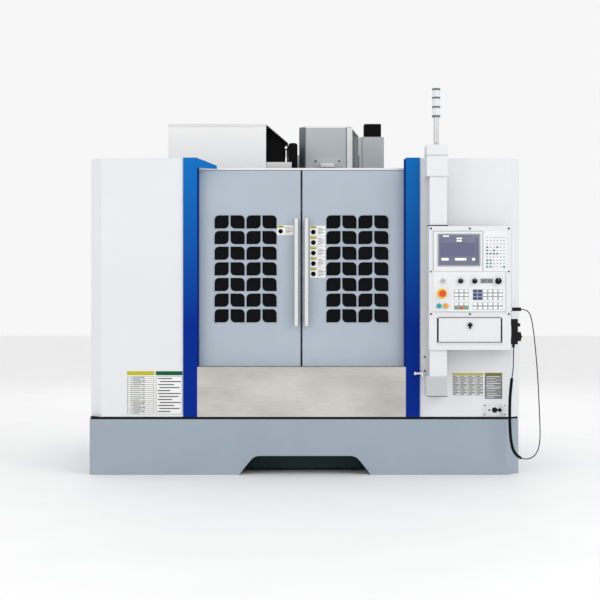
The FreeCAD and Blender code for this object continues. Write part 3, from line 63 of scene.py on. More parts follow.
cordShape = {
    "diameter": 0.006,
    "coilDiameter": 0.02,
    "turns": 80,
    "pointsPerTurn": 12,
    "lead": [
        (1.286, 0.998), (1.322, 0.995), (1.343, 0.965), (1.352, 0.925), (1.362, 0.865), (1.371, 0.785),
        (1.379, 0.695), (1.386, 0.606), (1.391, 0.516), (1.395, 0.426), (1.399, 0.337), (1.401, 0.250),
        (1.398, 0.200), (1.388, 0.155), (1.364, 0.120), (1.330, 0.104),
    ],
    "curl": [
        (1.290, 0.108), (1.256, 0.128), (1.234, 0.172), (1.223, 0.245), (1.219, 0.350), (1.220, 0.455),
        (1.226, 0.530), (1.233, 0.590),
    ],
    "tail": [(1.238, 0.622), (1.241, 0.660), (1.242, 0.715), (1.242, 0.770)],
    "deep": -1.065,
}


def splineObject(name, points):
    curve = bpy.data.curves.new(name, "CURVE")
    curve.dimensions = "3D"
    spline = curve.splines.new("NURBS")
    spline.points.add(len(points) - 1)
    for target, point in zip(spline.points, points):
        target.co = (*point, 1)
        target.radius = cordShape["diameter"] / 2
    spline.order_u = 3
    spline.use_endpoint_u = True
    spline.resolution_u = 8
    made = bpy.data.objects.new(name, curve)
    scene.collection.objects.link(made)
    return made


def readLine(made):
    flat = bpy.data.meshes.new_from_object(made.evaluated_get(bpy.context.evaluated_depsgraph_get()))
    line = [vertex.co.copy() for vertex in flat.vertices]
    bpy.data.meshes.remove(flat)
    return line


def lineLength(line):
    return sum((b - a).length for a, b in zip(line, line[1:]))


def helixAlong(line, radius, turns, perTurn):
    total = lineLength(line)
    marks = [0]
    for a, b in zip(line, line[1:]):
        marks.append(marks[-1] + (b - a).length)
    steps = turns * perTurn
    side = Vector((0, 1, 0))
    points = []
    index = 0
    for step in range(steps + 1):
        distance = total * step / steps
        while index < len(line) - 2 and marks[index + 1] < distance:
            index += 1
        share = (distance - marks[index]) / (marks[index + 1] - marks[index])
        centre = line[index].lerp(line[index + 1], share)
        ahead = (line[index + 1] - line[index]).normalized()
        across = side.cross(ahead).normalized()
        angle = 2 * math.pi * step / perTurn
        fade = min(1, step / perTurn, (steps - step) / perTurn)
        points.append(centre + (side * math.sin(angle) + across * math.cos(angle)) * radius * fade)
    return points


def cordPoint(pair):
    return Vector((pair[0], cordShape["deep"], pair[1]))


def makeCord():
    guide = splineObject("cordGuide", [cordPoint(p) for p in cordShape["curl"]])
    curlLine = readLine(guide)
    bpy.data.objects.remove(guide)
    coilRadius = (cordShape["coilDiameter"] - cordShape["diameter"]) / 2
    helix = helixAlong(curlLine, coilRadius, cordShape["turns"], cordShape["pointsPerTurn"])
    points = [cordPoint(p) for p in cordShape["lead"]] + helix + [cordPoint(p) for p in cordShape["tail"]]
    made = splineObject("pendantCord", points)
    made.data.bevel_depth = 1  # each point's radius is the cord's own
    made.data.bevel_resolution = 3
    made.data.resolution_u = 3
    for spline in made.data.splines:
        spline.resolution_u = 3
    return made


def lengthOf(cord):
    bare = cord.copy()
    bare.data = cord.data.copy()
    bare.data.bevel_depth = 0
    scene.collection.objects.link(bare)
    length = lineLength(readLine(bare))
    bpy.data.objects.remove(bare)
    return length


pendantCord = makeCord()
print(f"cord made, {lengthOf(pendantCord):.2f} m")
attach(pendantCord, "panel_body")
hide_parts("cord_lead", "cord_curl", "cord_tail")


def newMaterial(name, color, roughness, metallic=0.0):
    material = bpy.data.materials.new(name)
    material.use_nodes = True
    shader = material.node_tree.nodes["Principled BSDF"]
    shader.inputs["Base Color"].default_value = (*color, 1)
    shader.inputs["Roughness"].default_value = roughness
    shader.inputs["Metallic"].default_value = metallic
    return material, material.node_tree, shader


def noiseOn(tree, scale, detail, stretch=(1, 1, 1)):
    coordinates = tree.nodes.new("ShaderNodeTexCoord")
    mapping = tree.nodes.new("ShaderNodeMapping")
    mapping.inputs["Scale"].default_value = stretch
    noise = tree.nodes.new("ShaderNodeTexNoise")
    noise.inputs["Scale"].default_value = scale
    noise.inputs["Detail"].default_value = detail
    tree.links.new(coordinates.outputs["Object"], mapping.inputs["Vector"])
    tree.links.new(mapping.outputs["Vector"], noise.inputs["Vector"])
    return noise.outputs["Fac"]


def rampOf(tree, source, low, high, lowColor, highColor):
    ramp = tree.nodes.new("ShaderNodeValToRGB")
    ramp.color_ramp.elements[0].position = low
    ramp.color_ramp.elements[1].position = high
    ramp.color_ramp.elements[0].color = (*lowColor, 1)
    ramp.color_ramp.elements[1].color = (*highColor, 1)
    tree.links.new(source, ramp.inputs["Fac"])
    return ramp.outputs["Color"]


def bumpFrom(tree, shader, source, strength, distance):
    bump = tree.nodes.new("ShaderNodeBump")
    bump.inputs["Strength"].default_value = strength
    bump.inputs["Distance"].default_value = distance
    tree.links.new(source, bump.inputs["Height"])
    tree.links.new(bump.outputs["Normal"], shader.inputs["Normal"])


def shadesOf(color, variation):
    return tuple(c * (1 - variation) for c in color), tuple(min(1, c * (1 + variation)) for c in color)


def paint(name, color, roughness, grain=900, variation=0.03, coat=0.0, bump=0.08, gloss=0.5):
    material, tree, shader = newMaterial(name, color, roughness)
    cloud = noiseOn(tree, 2.2, 4)
    dark, light = shadesOf(color, variation)
    tree.links.new(rampOf(tree, cloud, 0.35, 0.65, dark, light), shader.inputs["Base Color"])
    bumpFrom(tree, shader, noiseOn(tree, grain, 2), bump, 0.0004)
    shader.inputs["Coat Weight"].default_value = coat
    shader.inputs["Coat Roughness"].default_value = 0.12
    shader.inputs["Specular IOR Level"].default_value = gloss
    return material


def brushed(name, color, roughness, along=(1, 1, 60), variation=0.12, scale=18, cloud=0.0):
    material, tree, shader = newMaterial(name, color, roughness, 1.0)
    streaks = noiseOn(tree, scale, 6, along)
    dark, light = shadesOf(color, variation)
    fine = rampOf(tree, streaks, 0.3, 0.7, dark, light)
    if cloud:
        patches = noiseOn(tree, 1.5, 3, (1, 1, 2.6))
        broad = rampOf(tree, patches, 0.35, 0.62, (1 - cloud * 1.6,) * 3, (1, 1, 1))
        blend = tree.nodes.new("ShaderNodeMixRGB")
        blend.blend_type = "MULTIPLY"
        blend.inputs["Fac"].default_value = 1
        tree.links.new(fine, blend.inputs["Color1"])
        tree.links.new(broad, blend.inputs["Color2"])
        fine = blend.outputs["Color"]
    tree.links.new(fine, shader.inputs["Base Color"])
    rough = rampOf(tree, streaks, 0.2, 0.8, (roughness * 0.8,) * 3, (min(1, roughness * 1.25),) * 3)
    tree.links.new(rough, shader.inputs["Roughness"])
    bumpFrom(tree, shader, streaks, 0.05, 0.0003)
    return material


def shaded(name, lowColor, highColor, lowZ, highZ, roughness, gloss):
    # painted shade: the colour grows lighter up the piece, standing in for light falling from above
    material, tree, shader = newMaterial(name, lowColor, roughness)
    coordinates = tree.nodes.new("ShaderNodeTexCoord")
    split = tree.nodes.new("ShaderNodeSeparateXYZ")
    height = tree.nodes.new("ShaderNodeMapRange")
    height.inputs["From Min"].default_value = lowZ
    height.inputs["From Max"].default_value = highZ
    tree.links.new(coordinates.outputs["Object"], split.inputs["Vector"])
    tree.links.new(split.outputs["Z"], height.inputs["Value"])
    rise = rampOf(tree, height.outputs["Result"], 0.0, 1.0, lowColor, highColor)
    tree.links.new(rise, shader.inputs["Base Color"])
    bumpFrom(tree, shader, noiseOn(tree, 700, 2), 0.08, 0.0004)
    shader.inputs["Specular IOR Level"].default_value = gloss
    return material


def plastic(name, color, roughness, gloss=0.5, grain=1400, bump=0.1, variation=0.05):
    return paint(name, color, roughness, grain, variation, 0.0, bump, gloss)


def glowing(name, color, strength):
    material, tree, shader = newMaterial(name, color, 0.35)
    shader.inputs["Emission Color"].default_value = (*color, 1)
    shader.inputs["Emission Strength"].default_value = strength
    bumpFrom(tree, shader, noiseOn(tree, 600, 2), 0.02, 0.0002)
    return material


def clear(name, color, roughness, alpha, gloss=0.25):
    material, tree, shader = newMaterial(name, color, roughness)
    shader.inputs["Alpha"].default_value = alpha
    shader.inputs["Specular IOR Level"].default_value = gloss
    bumpFrom(tree, shader, noiseOn(tree, 40, 2), 0.02, 0.0005)
    return material


# every look's maker and its values, by the material's name
lookTable = {
    "base_paint": (paint, (0.30, 0.355, 0.42), 0.38, 700, 0.03, 0.25),
    "door_paint": (paint, (0.39, 0.45, 0.515), 0.42, 700, 0.03, 0.15),
    "white_paint": (paint, (0.72, 0.73, 0.75), 0.45, 800, 0.012, 0.1, 0.12),
    # the blue grows lighter with height, painted shade
    "blue_paint": (shaded, (0.0, 0.022, 0.25), (0.006, 0.16, 0.50), 0.9, 2.0, 0.4, 0.06),
    "grey_paint": (paint, (0.465, 0.495, 0.525), 0.42, 700, 0.03, 0.15),
    "dark_paint": (paint, (0.022, 0.024, 0.027), 0.45, 500, 0.1, 0.0, 0.08, 0.3),
    "stainless": (brushed, (0.66, 0.635, 0.60), 0.3, (1, 1, 60), 0.10, 18, 0.16),
    "machined_steel": (brushed, (0.55, 0.55, 0.56), 0.28, (1, 30, 1)),
    "tool_steel": (brushed, (0.28, 0.28, 0.3), 0.32, (1, 1, 25)),
    "casting": (paint, (0.22, 0.26, 0.29), 0.55, 260, 0.08, 0.0, 0.35),
    "aluminium": (brushed, (0.72, 0.73, 0.74), 0.35, (20, 1, 1)),
    "seal_rubber": (plastic, (0.008, 0.009, 0.010), 0.7, 0.15),
    "window_glass": (clear, (0.003, 0.0035, 0.005), 0.08, 0.95, 0.08),
    "black_plastic": (plastic, (0.007, 0.007, 0.008), 0.42, 0.15),
    "panel_film": (plastic, (0.76, 0.77, 0.78), 0.5, 0.5, 1000, 0.06, 0.02),
    "red_plastic": (plastic, (0.66, 0.085, 0.02), 0.3, 0.3, 600, 0.03),
    "teal_plastic": (plastic, (0.0, 0.34, 0.32), 0.25, 0.5, 600, 0.03),
    "amber_plastic": (plastic, (0.80, 0.33, 0.01), 0.25, 0.5, 600, 0.03),
    "lamp_lens": (clear, (0.80, 0.82, 0.82), 0.12, 0.75),
    "cord_rubber": (plastic, (0.004, 0.004, 0.005), 0.5, 0.1),
    "yellowPlastic": (plastic, (0.86, 0.54, 0.03), 0.4, 0.2),
    "greenPrint": (plastic, (0.10, 0.36, 0.14), 0.5),
    "navyPrint": (plastic, (0.02, 0.05, 0.18), 0.45),
    "paleFilm": (plastic, (0.70, 0.70, 0.68), 0.5, 0.2),
    "greyInk": (plastic, (0.22, 0.23, 0.23), 0.5, 0.2),
    "screenGlow": (glowing, (0.12, 0.13, 0.19), 0.25),
    "screenField": (glowing, (0.80, 0.82, 0.85), 0.3),
    "darkDigits": (plastic, (0.05, 0.03, 0.03), 0.4),
    "screenPane": (glowing, (0.09, 0.10, 0.17), 0.25),
    "chrome": (brushed, (0.8, 0.8, 0.82), 0.12, (1, 1, 4), 0.03),
    "keyWhite": (plastic, (0.86, 0.87, 0.87), 0.45),
    "keyBedGrey": (plastic, (0.30, 0.33, 0.34), 0.5),
    "paleMark": (plastic, (0.30, 0.33, 0.35), 0.5, 0.2),
    "tealMark": (plastic, (0.03, 0.19, 0.19), 0.5),
    "deepBlack": (plastic, (0.004, 0.004, 0.004), 0.8, 0.1),
    "handleMetal": (brushed, (0.82, 0.83, 0.84), 0.22, (45, 45, 1), 0.04, 16),
    "tableLine": (plastic, (0.09, 0.095, 0.095), 0.5, 0.1),
    "greyPlate": (plastic, (0.24, 0.245, 0.245), 0.5, 0.2),
    # white film, also a painted highlight on the hood's right corner
    "whiteFilm": (plastic, (0.80, 0.80, 0.79), 0.5, 0.2),
    # a lighter copy of the white paint, painted light for the set-back magazine cover and a painted highlight on
    # the hood's top strip
    "brightWhite": (paint, (0.90, 0.90, 0.90), 0.45, 800, 0.01, 0.1, 0.12),
    "olivePrint": (plastic, (0.46, 0.43, 0.03), 0.5, 0.1),
    "darkOlivePrint": (plastic, (0.17, 0.17, 0.02), 0.5, 0.1),
    "darkGreenPrint": (plastic, (0.008, 0.10, 0.035), 0.5, 0.1),
    # a darker blue, painted shade on the pillars' inner edges
    "deepBlue": (paint, (0.0, 0.020, 0.19), 0.38, 700, 0.05, 0.0, 0.08, 0.15),
    # the coolant tank's own dark teal, darkened further as painted shade for the shadow under the skirt
    "tankPaint": (paint, (0.012, 0.040, 0.046), 0.5, 500, 0.1, 0.0, 0.08, 0.2),
    "shadeGrey": (paint, (0.10, 0.125, 0.135), 0.4, 600, 0.1),
    "midGrey": (paint, (0.50, 0.505, 0.51), 0.45, 800, 0.02),
    # a dark steel for painted shade along the handles' edges
    "steelEdge": (brushed, (0.13, 0.135, 0.14), 0.3, (45, 45, 1), 0.05, 16),
}
looks = {name: make(name, *values) for name, (make, *values) in lookTable.items()}
# the magazine cover takes a lighter copy of the white paint as painted light
ownLooks = {"left_handle": "handleMetal", "right_handle": "handleMetal", "magazine_cover": "brightWhite",
            # the coolant tank's look is darkened as painted shade
            "coolant_tank": "tankPaint"}
for entry in frame["record"]["subparts"]:
    node = frame["nodes"][entry["node"]]
    node.data.materials.clear()
    node.data.materials.append(looks[ownLooks.get(entry["node"], entry["material_slot"])])
pendantCord.data.materials.append(looks["cord_rubber"])
print("materials made")


def finishMesh(name, mesh, look, body):
    # a look that is one of the part's own slots needs no slot name
    made = bpy.data.objects.new(name, mesh)
    scene.collection.objects.link(made)
    mesh.materials.clear()
    mesh.materials.append(looks[look])
    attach(made, body)
    return made


def blockInto(shape, low, high, bevel=0.0, segments=2):
    middle = [(a + b) / 2 for a, b in zip(low, high)]
    span = [b - a for a, b in zip(low, high)]
    part = bmesh.new()
    bmesh.ops.create_cube(part, size=1, matrix=Matrix.Translation(middle) @ Matrix.Diagonal((*span, 1)))
    if bevel:
        bmesh.ops.bevel(part, geom=part.edges[:], offset=bevel, segments=segments, affect="EDGES", profile=0.5)
    mergeInto(shape, part)


def mergeInto(shape, part):
    holder = bpy.data.meshes.new("part")
    part.to_mesh(holder)
    part.free()
    shape.from_mesh(holder)
    bpy.data.meshes.remove(holder)


def turnedInto(shape, at, direction, profile, steps=32):
    part = bmesh.new()
    axis = Vector(direction).normalized()
    turn = up.rotation_difference(axis).to_matrix().to_4x4()
    place = Matrix.Translation(at) @ turn
    rings = []
    for radius, height in profile:
        if radius == 0:
            rings.append([part.verts.new(place @ Vector((0, 0, height)))])
            continue
        ring = []
        for step in range(steps):
            angle = 2 * math.pi * step / steps
            spot = Vector((radius * math.cos(angle), radius * math.sin(angle), height))
            ring.append(part.verts.new(place @ spot))
        rings.append(ring)
    for lower, higher in zip(rings, rings[1:]):
        for step in range(steps):
            following = (step + 1) % steps
            if len(lower) == 1:
                part.faces.new((lower[0], higher[step], higher[following]))
            elif len(higher) == 1:
                part.faces.new((lower[step], lower[following], higher[0]))
            else:
                part.faces.new((lower[step], lower[following], higher[following], higher[step]))
    bmesh.ops.recalc_face_normals(part, faces=part.faces)
    mergeInto(shape, part)


def shapeDone(name, shape, look, body, smooth=True):
    mesh = bpy.data.meshes.new(name)
    shape.to_mesh(mesh)
    shape.free()
    made = finishMesh(name, mesh, look, body)
    if smooth:
        for face in mesh.polygons:
            face.use_smooth = True
        mesh.set_sharp_from_angle(angle=math.radians(32))
    return made


def blocksDone(name, corners, look, body, bevel=0.0, segments=2):
    shape = bmesh.new()
    for low, high in corners:
        blockInto(shape, low, high, bevel, segments)
    return shapeDone(name, shape, look, body, smooth=bevel > 0 and segments > 1)


def platesDone(name, areas, face, rise, look, body, bevel=0.0, segments=2, base=0.0):
    # upright plates on a face that looks forward, each given as left, right, low and high
    corners = [((left, face - rise, low), (right, face - base, high)) for left, right, low, high in areas]
    return blocksDone(name, corners, look, body, bevel, segments)


def turnedDone(name, turns, look, body, smooth=True):
    shape = bmesh.new()
    for turn in turns:
        turnedInto(shape, *turn)
    return shapeDone(name, shape, look, body, smooth)


gridInputs = {"Item": "Object", "Columns": "Int", "Rows": "Int", "Width": "Float", "Height": "Float",
              "Middle": "Vector", "Turn": "Vector"}
gridNodes = {
    "start": "NodeGroupInput", "grid": "GeometryNodeMeshGrid", "place": "GeometryNodeTransform",
    "item": "GeometryNodeObjectInfo", "spread": "GeometryNodeInstanceOnPoints",
    "realize": "GeometryNodeRealizeInstances", "dress": "GeometryNodeSetMaterial", "end": "NodeGroupOutput",
}
gridLinks = (
    ("start", "Width", "grid", "Size X"), ("start", "Height", "grid", "Size Y"),
    ("start", "Columns", "grid", "Vertices X"), ("start", "Rows", "grid", "Vertices Y"),
    ("grid", "Mesh", "place", "Geometry"), ("start", "Middle", "place", "Translation"),
    ("start", "Turn", "place", "Rotation"), ("start", "Item", "item", "Object"),
    ("place", "Geometry", "spread", "Points"), ("item", "Geometry", "spread", "Instance"),
    ("spread", "Instances", "realize", "Geometry"), ("realize", "Geometry", "dress", "Geometry"),
    ("dress", "Geometry", "end", "Geometry"),
)


def gridTree(name, material):
    tree = bpy.data.node_groups.new(name, "GeometryNodeTree")
    tree.interface.new_socket("Geometry", in_out="OUTPUT", socket_type="NodeSocketGeometry")
    for label, kind in gridInputs.items():
        tree.interface.new_socket(label, in_out="INPUT", socket_type=f"NodeSocket{kind}")
    nodes = {label: tree.nodes.new(kind) for label, kind in gridNodes.items()}
    nodes["dress"].inputs["Material"].default_value = material
    for source, output, target, entry in gridLinks:
        tree.links.new(nodes[source].outputs[output], nodes[target].inputs[entry])
    return tree


def repeated(name, itemShape, columns, rows, low, high, look, body, side=False):
    # low and high are the first and last item's places, on a face that looks forward or to the side
    itemMesh = bpy.data.meshes.new(name + "Item")
    itemShape.to_mesh(itemMesh)
    itemShape.free()
    item = bpy.data.objects.new(name + "Item", itemMesh)
    holder = bpy.data.objects.new(name + "Holder", bpy.data.meshes.new(name + "Holder"))
    for made in (item, holder):
        scene.collection.objects.link(made)
    tree = gridTree(name + "Tree", looks[look])
    modifier = holder.modifiers.new("spread", "NODES")
    modifier.node_group = tree
    span = [abs(b - a) for a, b in zip(low, high)]
    values = {
        "Item": item,
        "Columns": columns,
        "Rows": rows,
        "Width": span[1] if side else span[0],
        "Height": span[2],
        "Middle": [(a + b) / 2 for a, b in zip(low, high)],
        "Turn": (math.radians(90), 0, math.radians(90) if side else 0),
    }
    for socket in tree.interface.items_tree:
        if socket.item_type == "SOCKET" and socket.in_out == "INPUT":
            modifier[socket.identifier] = values[socket.name]
    bpy.context.view_layer.update()
    evaluated = holder.evaluated_get(bpy.context.evaluated_depsgraph_get())
    mesh = bpy.data.meshes.new_from_object(evaluated)
    for made in (item, holder):
        bpy.data.objects.remove(made)
    mesh.name = name
    return finishMesh(name, mesh, look, body)


def blockItem(width, depth, height, bevel=0.0):
    item = bmesh.new()
    blockInto(item, (-width / 2, -depth, -height / 2), (width / 2, 0, height / 2), bevel, 1)
    return item


def screwsDone(name, radius, columns, rows, low, high, body):
    item = bmesh.new()
    rise = radius * 0.5
    profile = [(radius, 0), (radius, rise * 0.6), (radius * 0.8, rise), (radius * 0.45, rise),
               (radius * 0.4, rise * 0.4), (0, rise * 0.4)]
    turnedInto(item, (0, 0, 0), (0, -1, 0), profile, 16)
    return repeated(name, item, columns, rows, low, high, "dark_paint", body)


def slabDone(name, near, far, look, body, slotName=None):
    # a flat-sided solid between two rings of points
    part = bmesh.new()
    rings = [[part.verts.new(point) for point in ring] for ring in (near, far)]
    part.faces.new(rings[0])
    part.faces.new(rings[1][::-1])
    for a in range(len(near)):
        b = (a + 1) % len(near)
        part.faces.new((rings[0][a], rings[1][a], rings[1][b], rings[0][b]))
    bmesh.ops.recalc_face_normals(part, faces=part.faces)
    return shapeDone(name, part, look, body, smooth=False)


def prismDone(name, outline, nearY, farY, look, body, slotName=None):
    near, far = [[(x, y, z) for x, z in outline] for y in (nearY, farY)]
    return slabDone(name, near, far, look, body, slotName)


def leanDone(name, near, far, low, high, thick, look, body, slotName):
    # an upright sheet between two points of the plan, standing proud on its front side
    way = Vector((far[0] - near[0], far[1] - near[1], 0)).normalized()
    out = Vector((way.y, -way.x, 0)) * thick
    if out.y > 0:
        out = -out
    rings = []
    for z in (low, high):
        a, b = Vector((*near, z)), Vector((*far, z))
        rings.append((a, b, b + out, a + out))
    return slabDone(name, *rings, look, body, slotName)


def front(node):
    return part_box(node)[0].y


def middleOf(node):
    low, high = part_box(node)
    return Vector([(a + b) / 2 for a, b in zip(low, high)])


print("makers ready")


film = {"depth": 0.0008, "lineTall": 0.0020, "ruleHalf": 0.0009, "header": 0.10, "margin": 0.03}
# printed tables, which have a header, and fields of bars, which have only an ink
labels = {
    "leftTable": {"area": (-1.075, -0.905, 0.357, 0.626), "rows": 20, "header": "olivePrint",
                  "ground": "whiteFilm", "columns": (0.0, 0.16, 0.62, 1.0)},
    "leftTableGreen": {"area": (-0.901, -0.736, 0.357, 0.626), "rows": 2, "header": "darkGreenPrint",
                       "ground": "whiteFilm", "columns": (0.0, 1.0)},
    "leftTableBars": {"area": (-0.893, -0.744, 0.372, 0.588), "rows": 12, "ink": "tableLine"},
    "leftTableNotes": {"area": (-1.043, -0.960, 0.366, 0.592), "rows": 20, "ink": "greyInk"},
    "rightTable": {"area": (0.886, 1.078, 0.475, 0.614), "rows": 13, "header": "olivePrint",
                   "ground": "whiteFilm", "columns": (0.0, 0.24, 0.5, 0.76, 1.0)},
    "rightTableBars0": {"area": (0.890, 0.932, 0.480, 0.597), "rows": 12, "ink": "tableLine"},
    "rightTableBars1": {"area": (0.936, 0.978, 0.480, 0.597), "rows": 12, "ink": "tableLine"},
    "rightTableBars2": {"area": (0.984, 1.026, 0.480, 0.597), "rows": 12, "ink": "tableLine"},
    "rightTableBars3": {"area": (1.032, 1.074, 0.480, 0.597), "rows": 12, "ink": "tableLine"},
    "greyTable": {"area": (1.084, 1.189, 0.457, 0.614), "rows": 12, "header": "darkOlivePrint",
                  "ground": "greyPlate", "columns": (0.0, 1.0)},
    "greyTableBars": {"area": (1.088, 1.185, 0.462, 0.596), "rows": 13, "ink": "whiteFilm"},
}
bars = {"starts": (0.04, 0.10, 0.05, 0.12, 0.04, 0.08, 0.05), "ends": (0.55, 0.92, 0.70, 0.97, 0.62, 0.88, 0.96),
        "rise": 0.0004, "half": 0.17}


def makeTable(name, table, face):
    left, right, low, high = table["area"]
    wide, tall, depth, margin, half = right - left, high - low, film["depth"], film["margin"], film["ruleHalf"]
    top = high - tall * film["header"]
    bottom, ceiling, middle = low + tall * margin, top - tall * margin, (left + right) / 2
    platesDone(name, [table["area"]], face, depth, table["ground"], "machine")
    platesDone(f"{name}Header", [(left + 0.002, right - 0.002, top, high - 0.002)], face, depth * 1.7,
               table["header"], "machine", base=depth)
    line = blockItem(wide * (1 - 2 * margin), depth * 0.5, film["lineTall"])
    repeated(f"{name}Rows", line, 1, table["rows"], (middle, face - depth, bottom), (middle, face - depth, ceiling),
             "tableLine", "machine")
    rules = [left + wide * (margin + (1 - 2 * margin) * share) for share in table["columns"]]
    platesDone(f"{name}Rules", [(x - half, x + half, bottom, ceiling) for x in rules], face, depth * 1.5,
               "tableLine", "machine", base=depth)


def printedBars(name, area, face, rows, body, look):
    # short bars of several lengths stand for printed rows
    left, right, low, high = area
    wide, pitch = right - left, (high - low) / rows
    areas = []
    for row in range(rows):
        pick = row % len(bars["starts"])
        middle = low + pitch * (row + 0.5)
        areas.append((left + wide * bars["starts"][pick], left + wide * bars["ends"][pick],
                      middle - pitch * bars["half"], middle + pitch * bars["half"]))
    platesDone(name, areas, face, bars["rise"], look, body)


def makeDoorPlate(name, area, face, body):
    # a plain plate with a coloured corner, a dark disc and a few printed rows
    left, right, low, high = area
    wide, tall, depth = right - left, high - low, film["depth"]
    platesDone(name, [area], face, depth, "whiteFilm", body)
    platesDone(f"{name}Corner", [(left + wide * 0.03, left + wide * 0.42, low + tall * 0.76, high - tall * 0.04)],
               face, depth * 1.6, "olivePrint", body, base=depth)
    disc = bmesh.new()
    outer, inner, rise = tall * 0.24, tall * 0.13, depth * 0.6
    turnedInto(disc, (left + wide * 0.22, face - depth, low + tall * 0.38), (0, -1, 0),
               [(0, 0), (outer, 0), (outer, rise), (inner, rise), (inner, 0)], 24)
    blockInto(disc, (left + wide * 0.11, face - depth * 1.6, low + tall * 0.83),
              (left + wide * 0.35, face - depth * 1.2, low + tall * 0.89))
    shapeDone(f"{name}Disc", disc, "deepBlack", body, smooth=False)
    printedBars(f"{name}Rows", (left + wide * 0.47, right - wide * 0.04, low + tall * 0.14, high - tall * 0.16),
                face - depth, 5, body, "tableLine")


doorPlates = {"left": (-0.170, -0.069, 1.448, 1.506), "rightX": (0.030, 0.126), "low": 1.188, "count": 5,
              "tall": 0.0606, "gap": 0.003}


def makeLabels():
    face = front("front_panels")
    for name, label in labels.items():
        if "header" in label:
            makeTable(name, label, face)
        else:
            printedBars(name, label["area"], face - film["depth"], label["rows"], "machine", label["ink"])
    makeDoorPlate("leftDoorPlate", doorPlates["left"], front("left_door"), "left_door_body")
    for number in range(doorPlates["count"]):
        low = doorPlates["low"] + number * (doorPlates["tall"] + doorPlates["gap"])
        makeDoorPlate(f"rightDoorPlate{number}", (*doorPlates["rightX"], low, low + doorPlates["tall"]),
                      front("right_door"), "right_door_body")


doorEdges = {"seal": 0.004, "shadeNear": 0.0022, "shadeFar": 0.0030}


def makeDoorEdges():
    # black strips where the two doors meet, painted shade for the gap between them, and darker steel strips on the
    # handles' edges, painted shade
    for side, edge, inward in (("left", 1, -doorEdges["seal"]), ("right", 0, doorEdges["seal"])):
        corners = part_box(f"{side}_door")
        x = corners[edge].x
        platesDone(f"{side}DoorEdge", [(*sorted((x, x + inward)), corners[0].z, corners[1].z)], corners[0].y,
                   0.0012, "deepBlack", f"{side}_door_body")
        low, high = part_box(f"{side}_handle")
        # the handles' edge strips are painted shade down both long sides
        handleShades = [(low.x, low.x + doorEdges["shadeNear"], low.z, high.z),
                 (high.x - doorEdges["shadeFar"], high.x, low.z, high.z)]
        platesDone(f"{side}HandleEdges", handleShades, low.y, 0.0008, "steelEdge", f"{side}_door_body")


pillarReturn = {"pillar": 0.084, "width": 0.012, "near": 0.012, "far": 0.020, "top": 1.903}


def makePillarReturns():
    # the pillars' inner edges in a darker blue, painted shade
    low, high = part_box("pillars")
    areas = []
    for outer, toward in ((low.x, 1), (high.x, -1)):
        x = outer + toward * pillarReturn["pillar"]
        areas.append((*sorted((x, x + toward * pillarReturn["width"])), low.z, pillarReturn["top"]))
    platesDone("pillarReturns", areas, low.y, -pillarReturn["near"], "deepBlue", "machine",
               base=-pillarReturn["far"])


servicePlate = {"area": (1.072, 1.216, 0.355, 0.425), "rise": 0.003, "height": 0.39, "screw": 0.004,
                "sockets": ((1.110, 0.005), (1.143, 0.0165), (1.173, 0.011)), "inset": (0.010, 0.008)}


def makeServicePlate():
    face = front("front_panels")
    outer = face - servicePlate["rise"]
    left, right, low, high = servicePlate["area"]
    platesDone("servicePlate", [servicePlate["area"]], face, servicePlate["rise"], "aluminium", "machine",
               0.001)
    sockets = [((across, outer, servicePlate["height"]), (0, -1, 0),
                [(radius, 0), (radius, 0.008), (radius * 0.7, 0.010), (radius * 0.6, 0.003), (0, 0.003)])
               for across, radius in servicePlate["sockets"]]
    turnedDone("serviceSockets", sockets, "black_plastic", "machine")
    aside, above = servicePlate["inset"]
    screwsDone("servicePlateScrews", servicePlate["screw"], 2, 2, (left + aside, outer, low + above),
               (right - aside, outer, high - above), "machine")


windowRim = {"width": 0.088, "height": 0.082, "corner": 0.028, "sharp": 0.002, "lip": 0.0035, "rise": 0.0025,
             "pitch": (0.097, 0.095), "margin": 0.020, "rows": 7}


def rimLoop(item, parity, grow, depth):
    halfWidth = windowRim["width"] / 2 + grow
    halfHeight = windowRim["height"] / 2 + grow
    loop = []
    for corner, (sx, sz) in enumerate(((-1, -1), (1, -1), (1, 1), (-1, 1))):
        isRound = (corner % 2 == 1) == (parity == 0)
        radius = windowRim["corner"] + grow if isRound else windowRim["sharp"]
        centre = Vector((sx * (halfWidth - radius), -depth, sz * (halfHeight - radius)))
        for step in range(7):
            angle = math.pi + (corner + step / 6) * math.pi / 2
            loop.append(item.verts.new(centre + Vector((math.cos(angle), 0, math.sin(angle))) * radius))
    return loop


def makeWindowRims(side):
    # a raised lip round each leaf-shaped cell
    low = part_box(f"{side}_pane")[0]
    lip, rise, margin = windowRim["lip"], windowRim["rise"], windowRim["margin"]
    across, down = windowRim["pitch"]
    for parity in (0, 1):
        item = bmesh.new()
        loops = [rimLoop(item, parity, grow, depth)
                 for grow, depth in ((-0.0004, 0), (-0.0004, rise), (lip, rise), (lip + 0.001, 0))]
        for inner, outer in zip(loops, loops[1:] + loops[:1]):
            for a in range(len(inner)):
                b = (a + 1) % len(inner)
                item.faces.new((inner[a], inner[b], outer[b], outer[a]))
        bmesh.ops.recalc_face_normals(item, faces=item.faces)
        first = (low.x + margin + windowRim["width"] / 2 + parity * across, front(f"{side}_door"),
                 low.z + margin + windowRim["height"] / 2)
        last = (first[0] + 2 * across, first[1], first[2] + (windowRim["rows"] - 1) * down)
        repeated(f"{side}WindowRims{parity}", item, 2, windowRim["rows"], first, last, "door_paint",
                 f"{side}_door_body")


sidePanels = {"fold": 0.03, "foldRise": 0.002, "seam": 0.0035, "seamRise": 0.0004, "seams": (0.33, 0.66)}


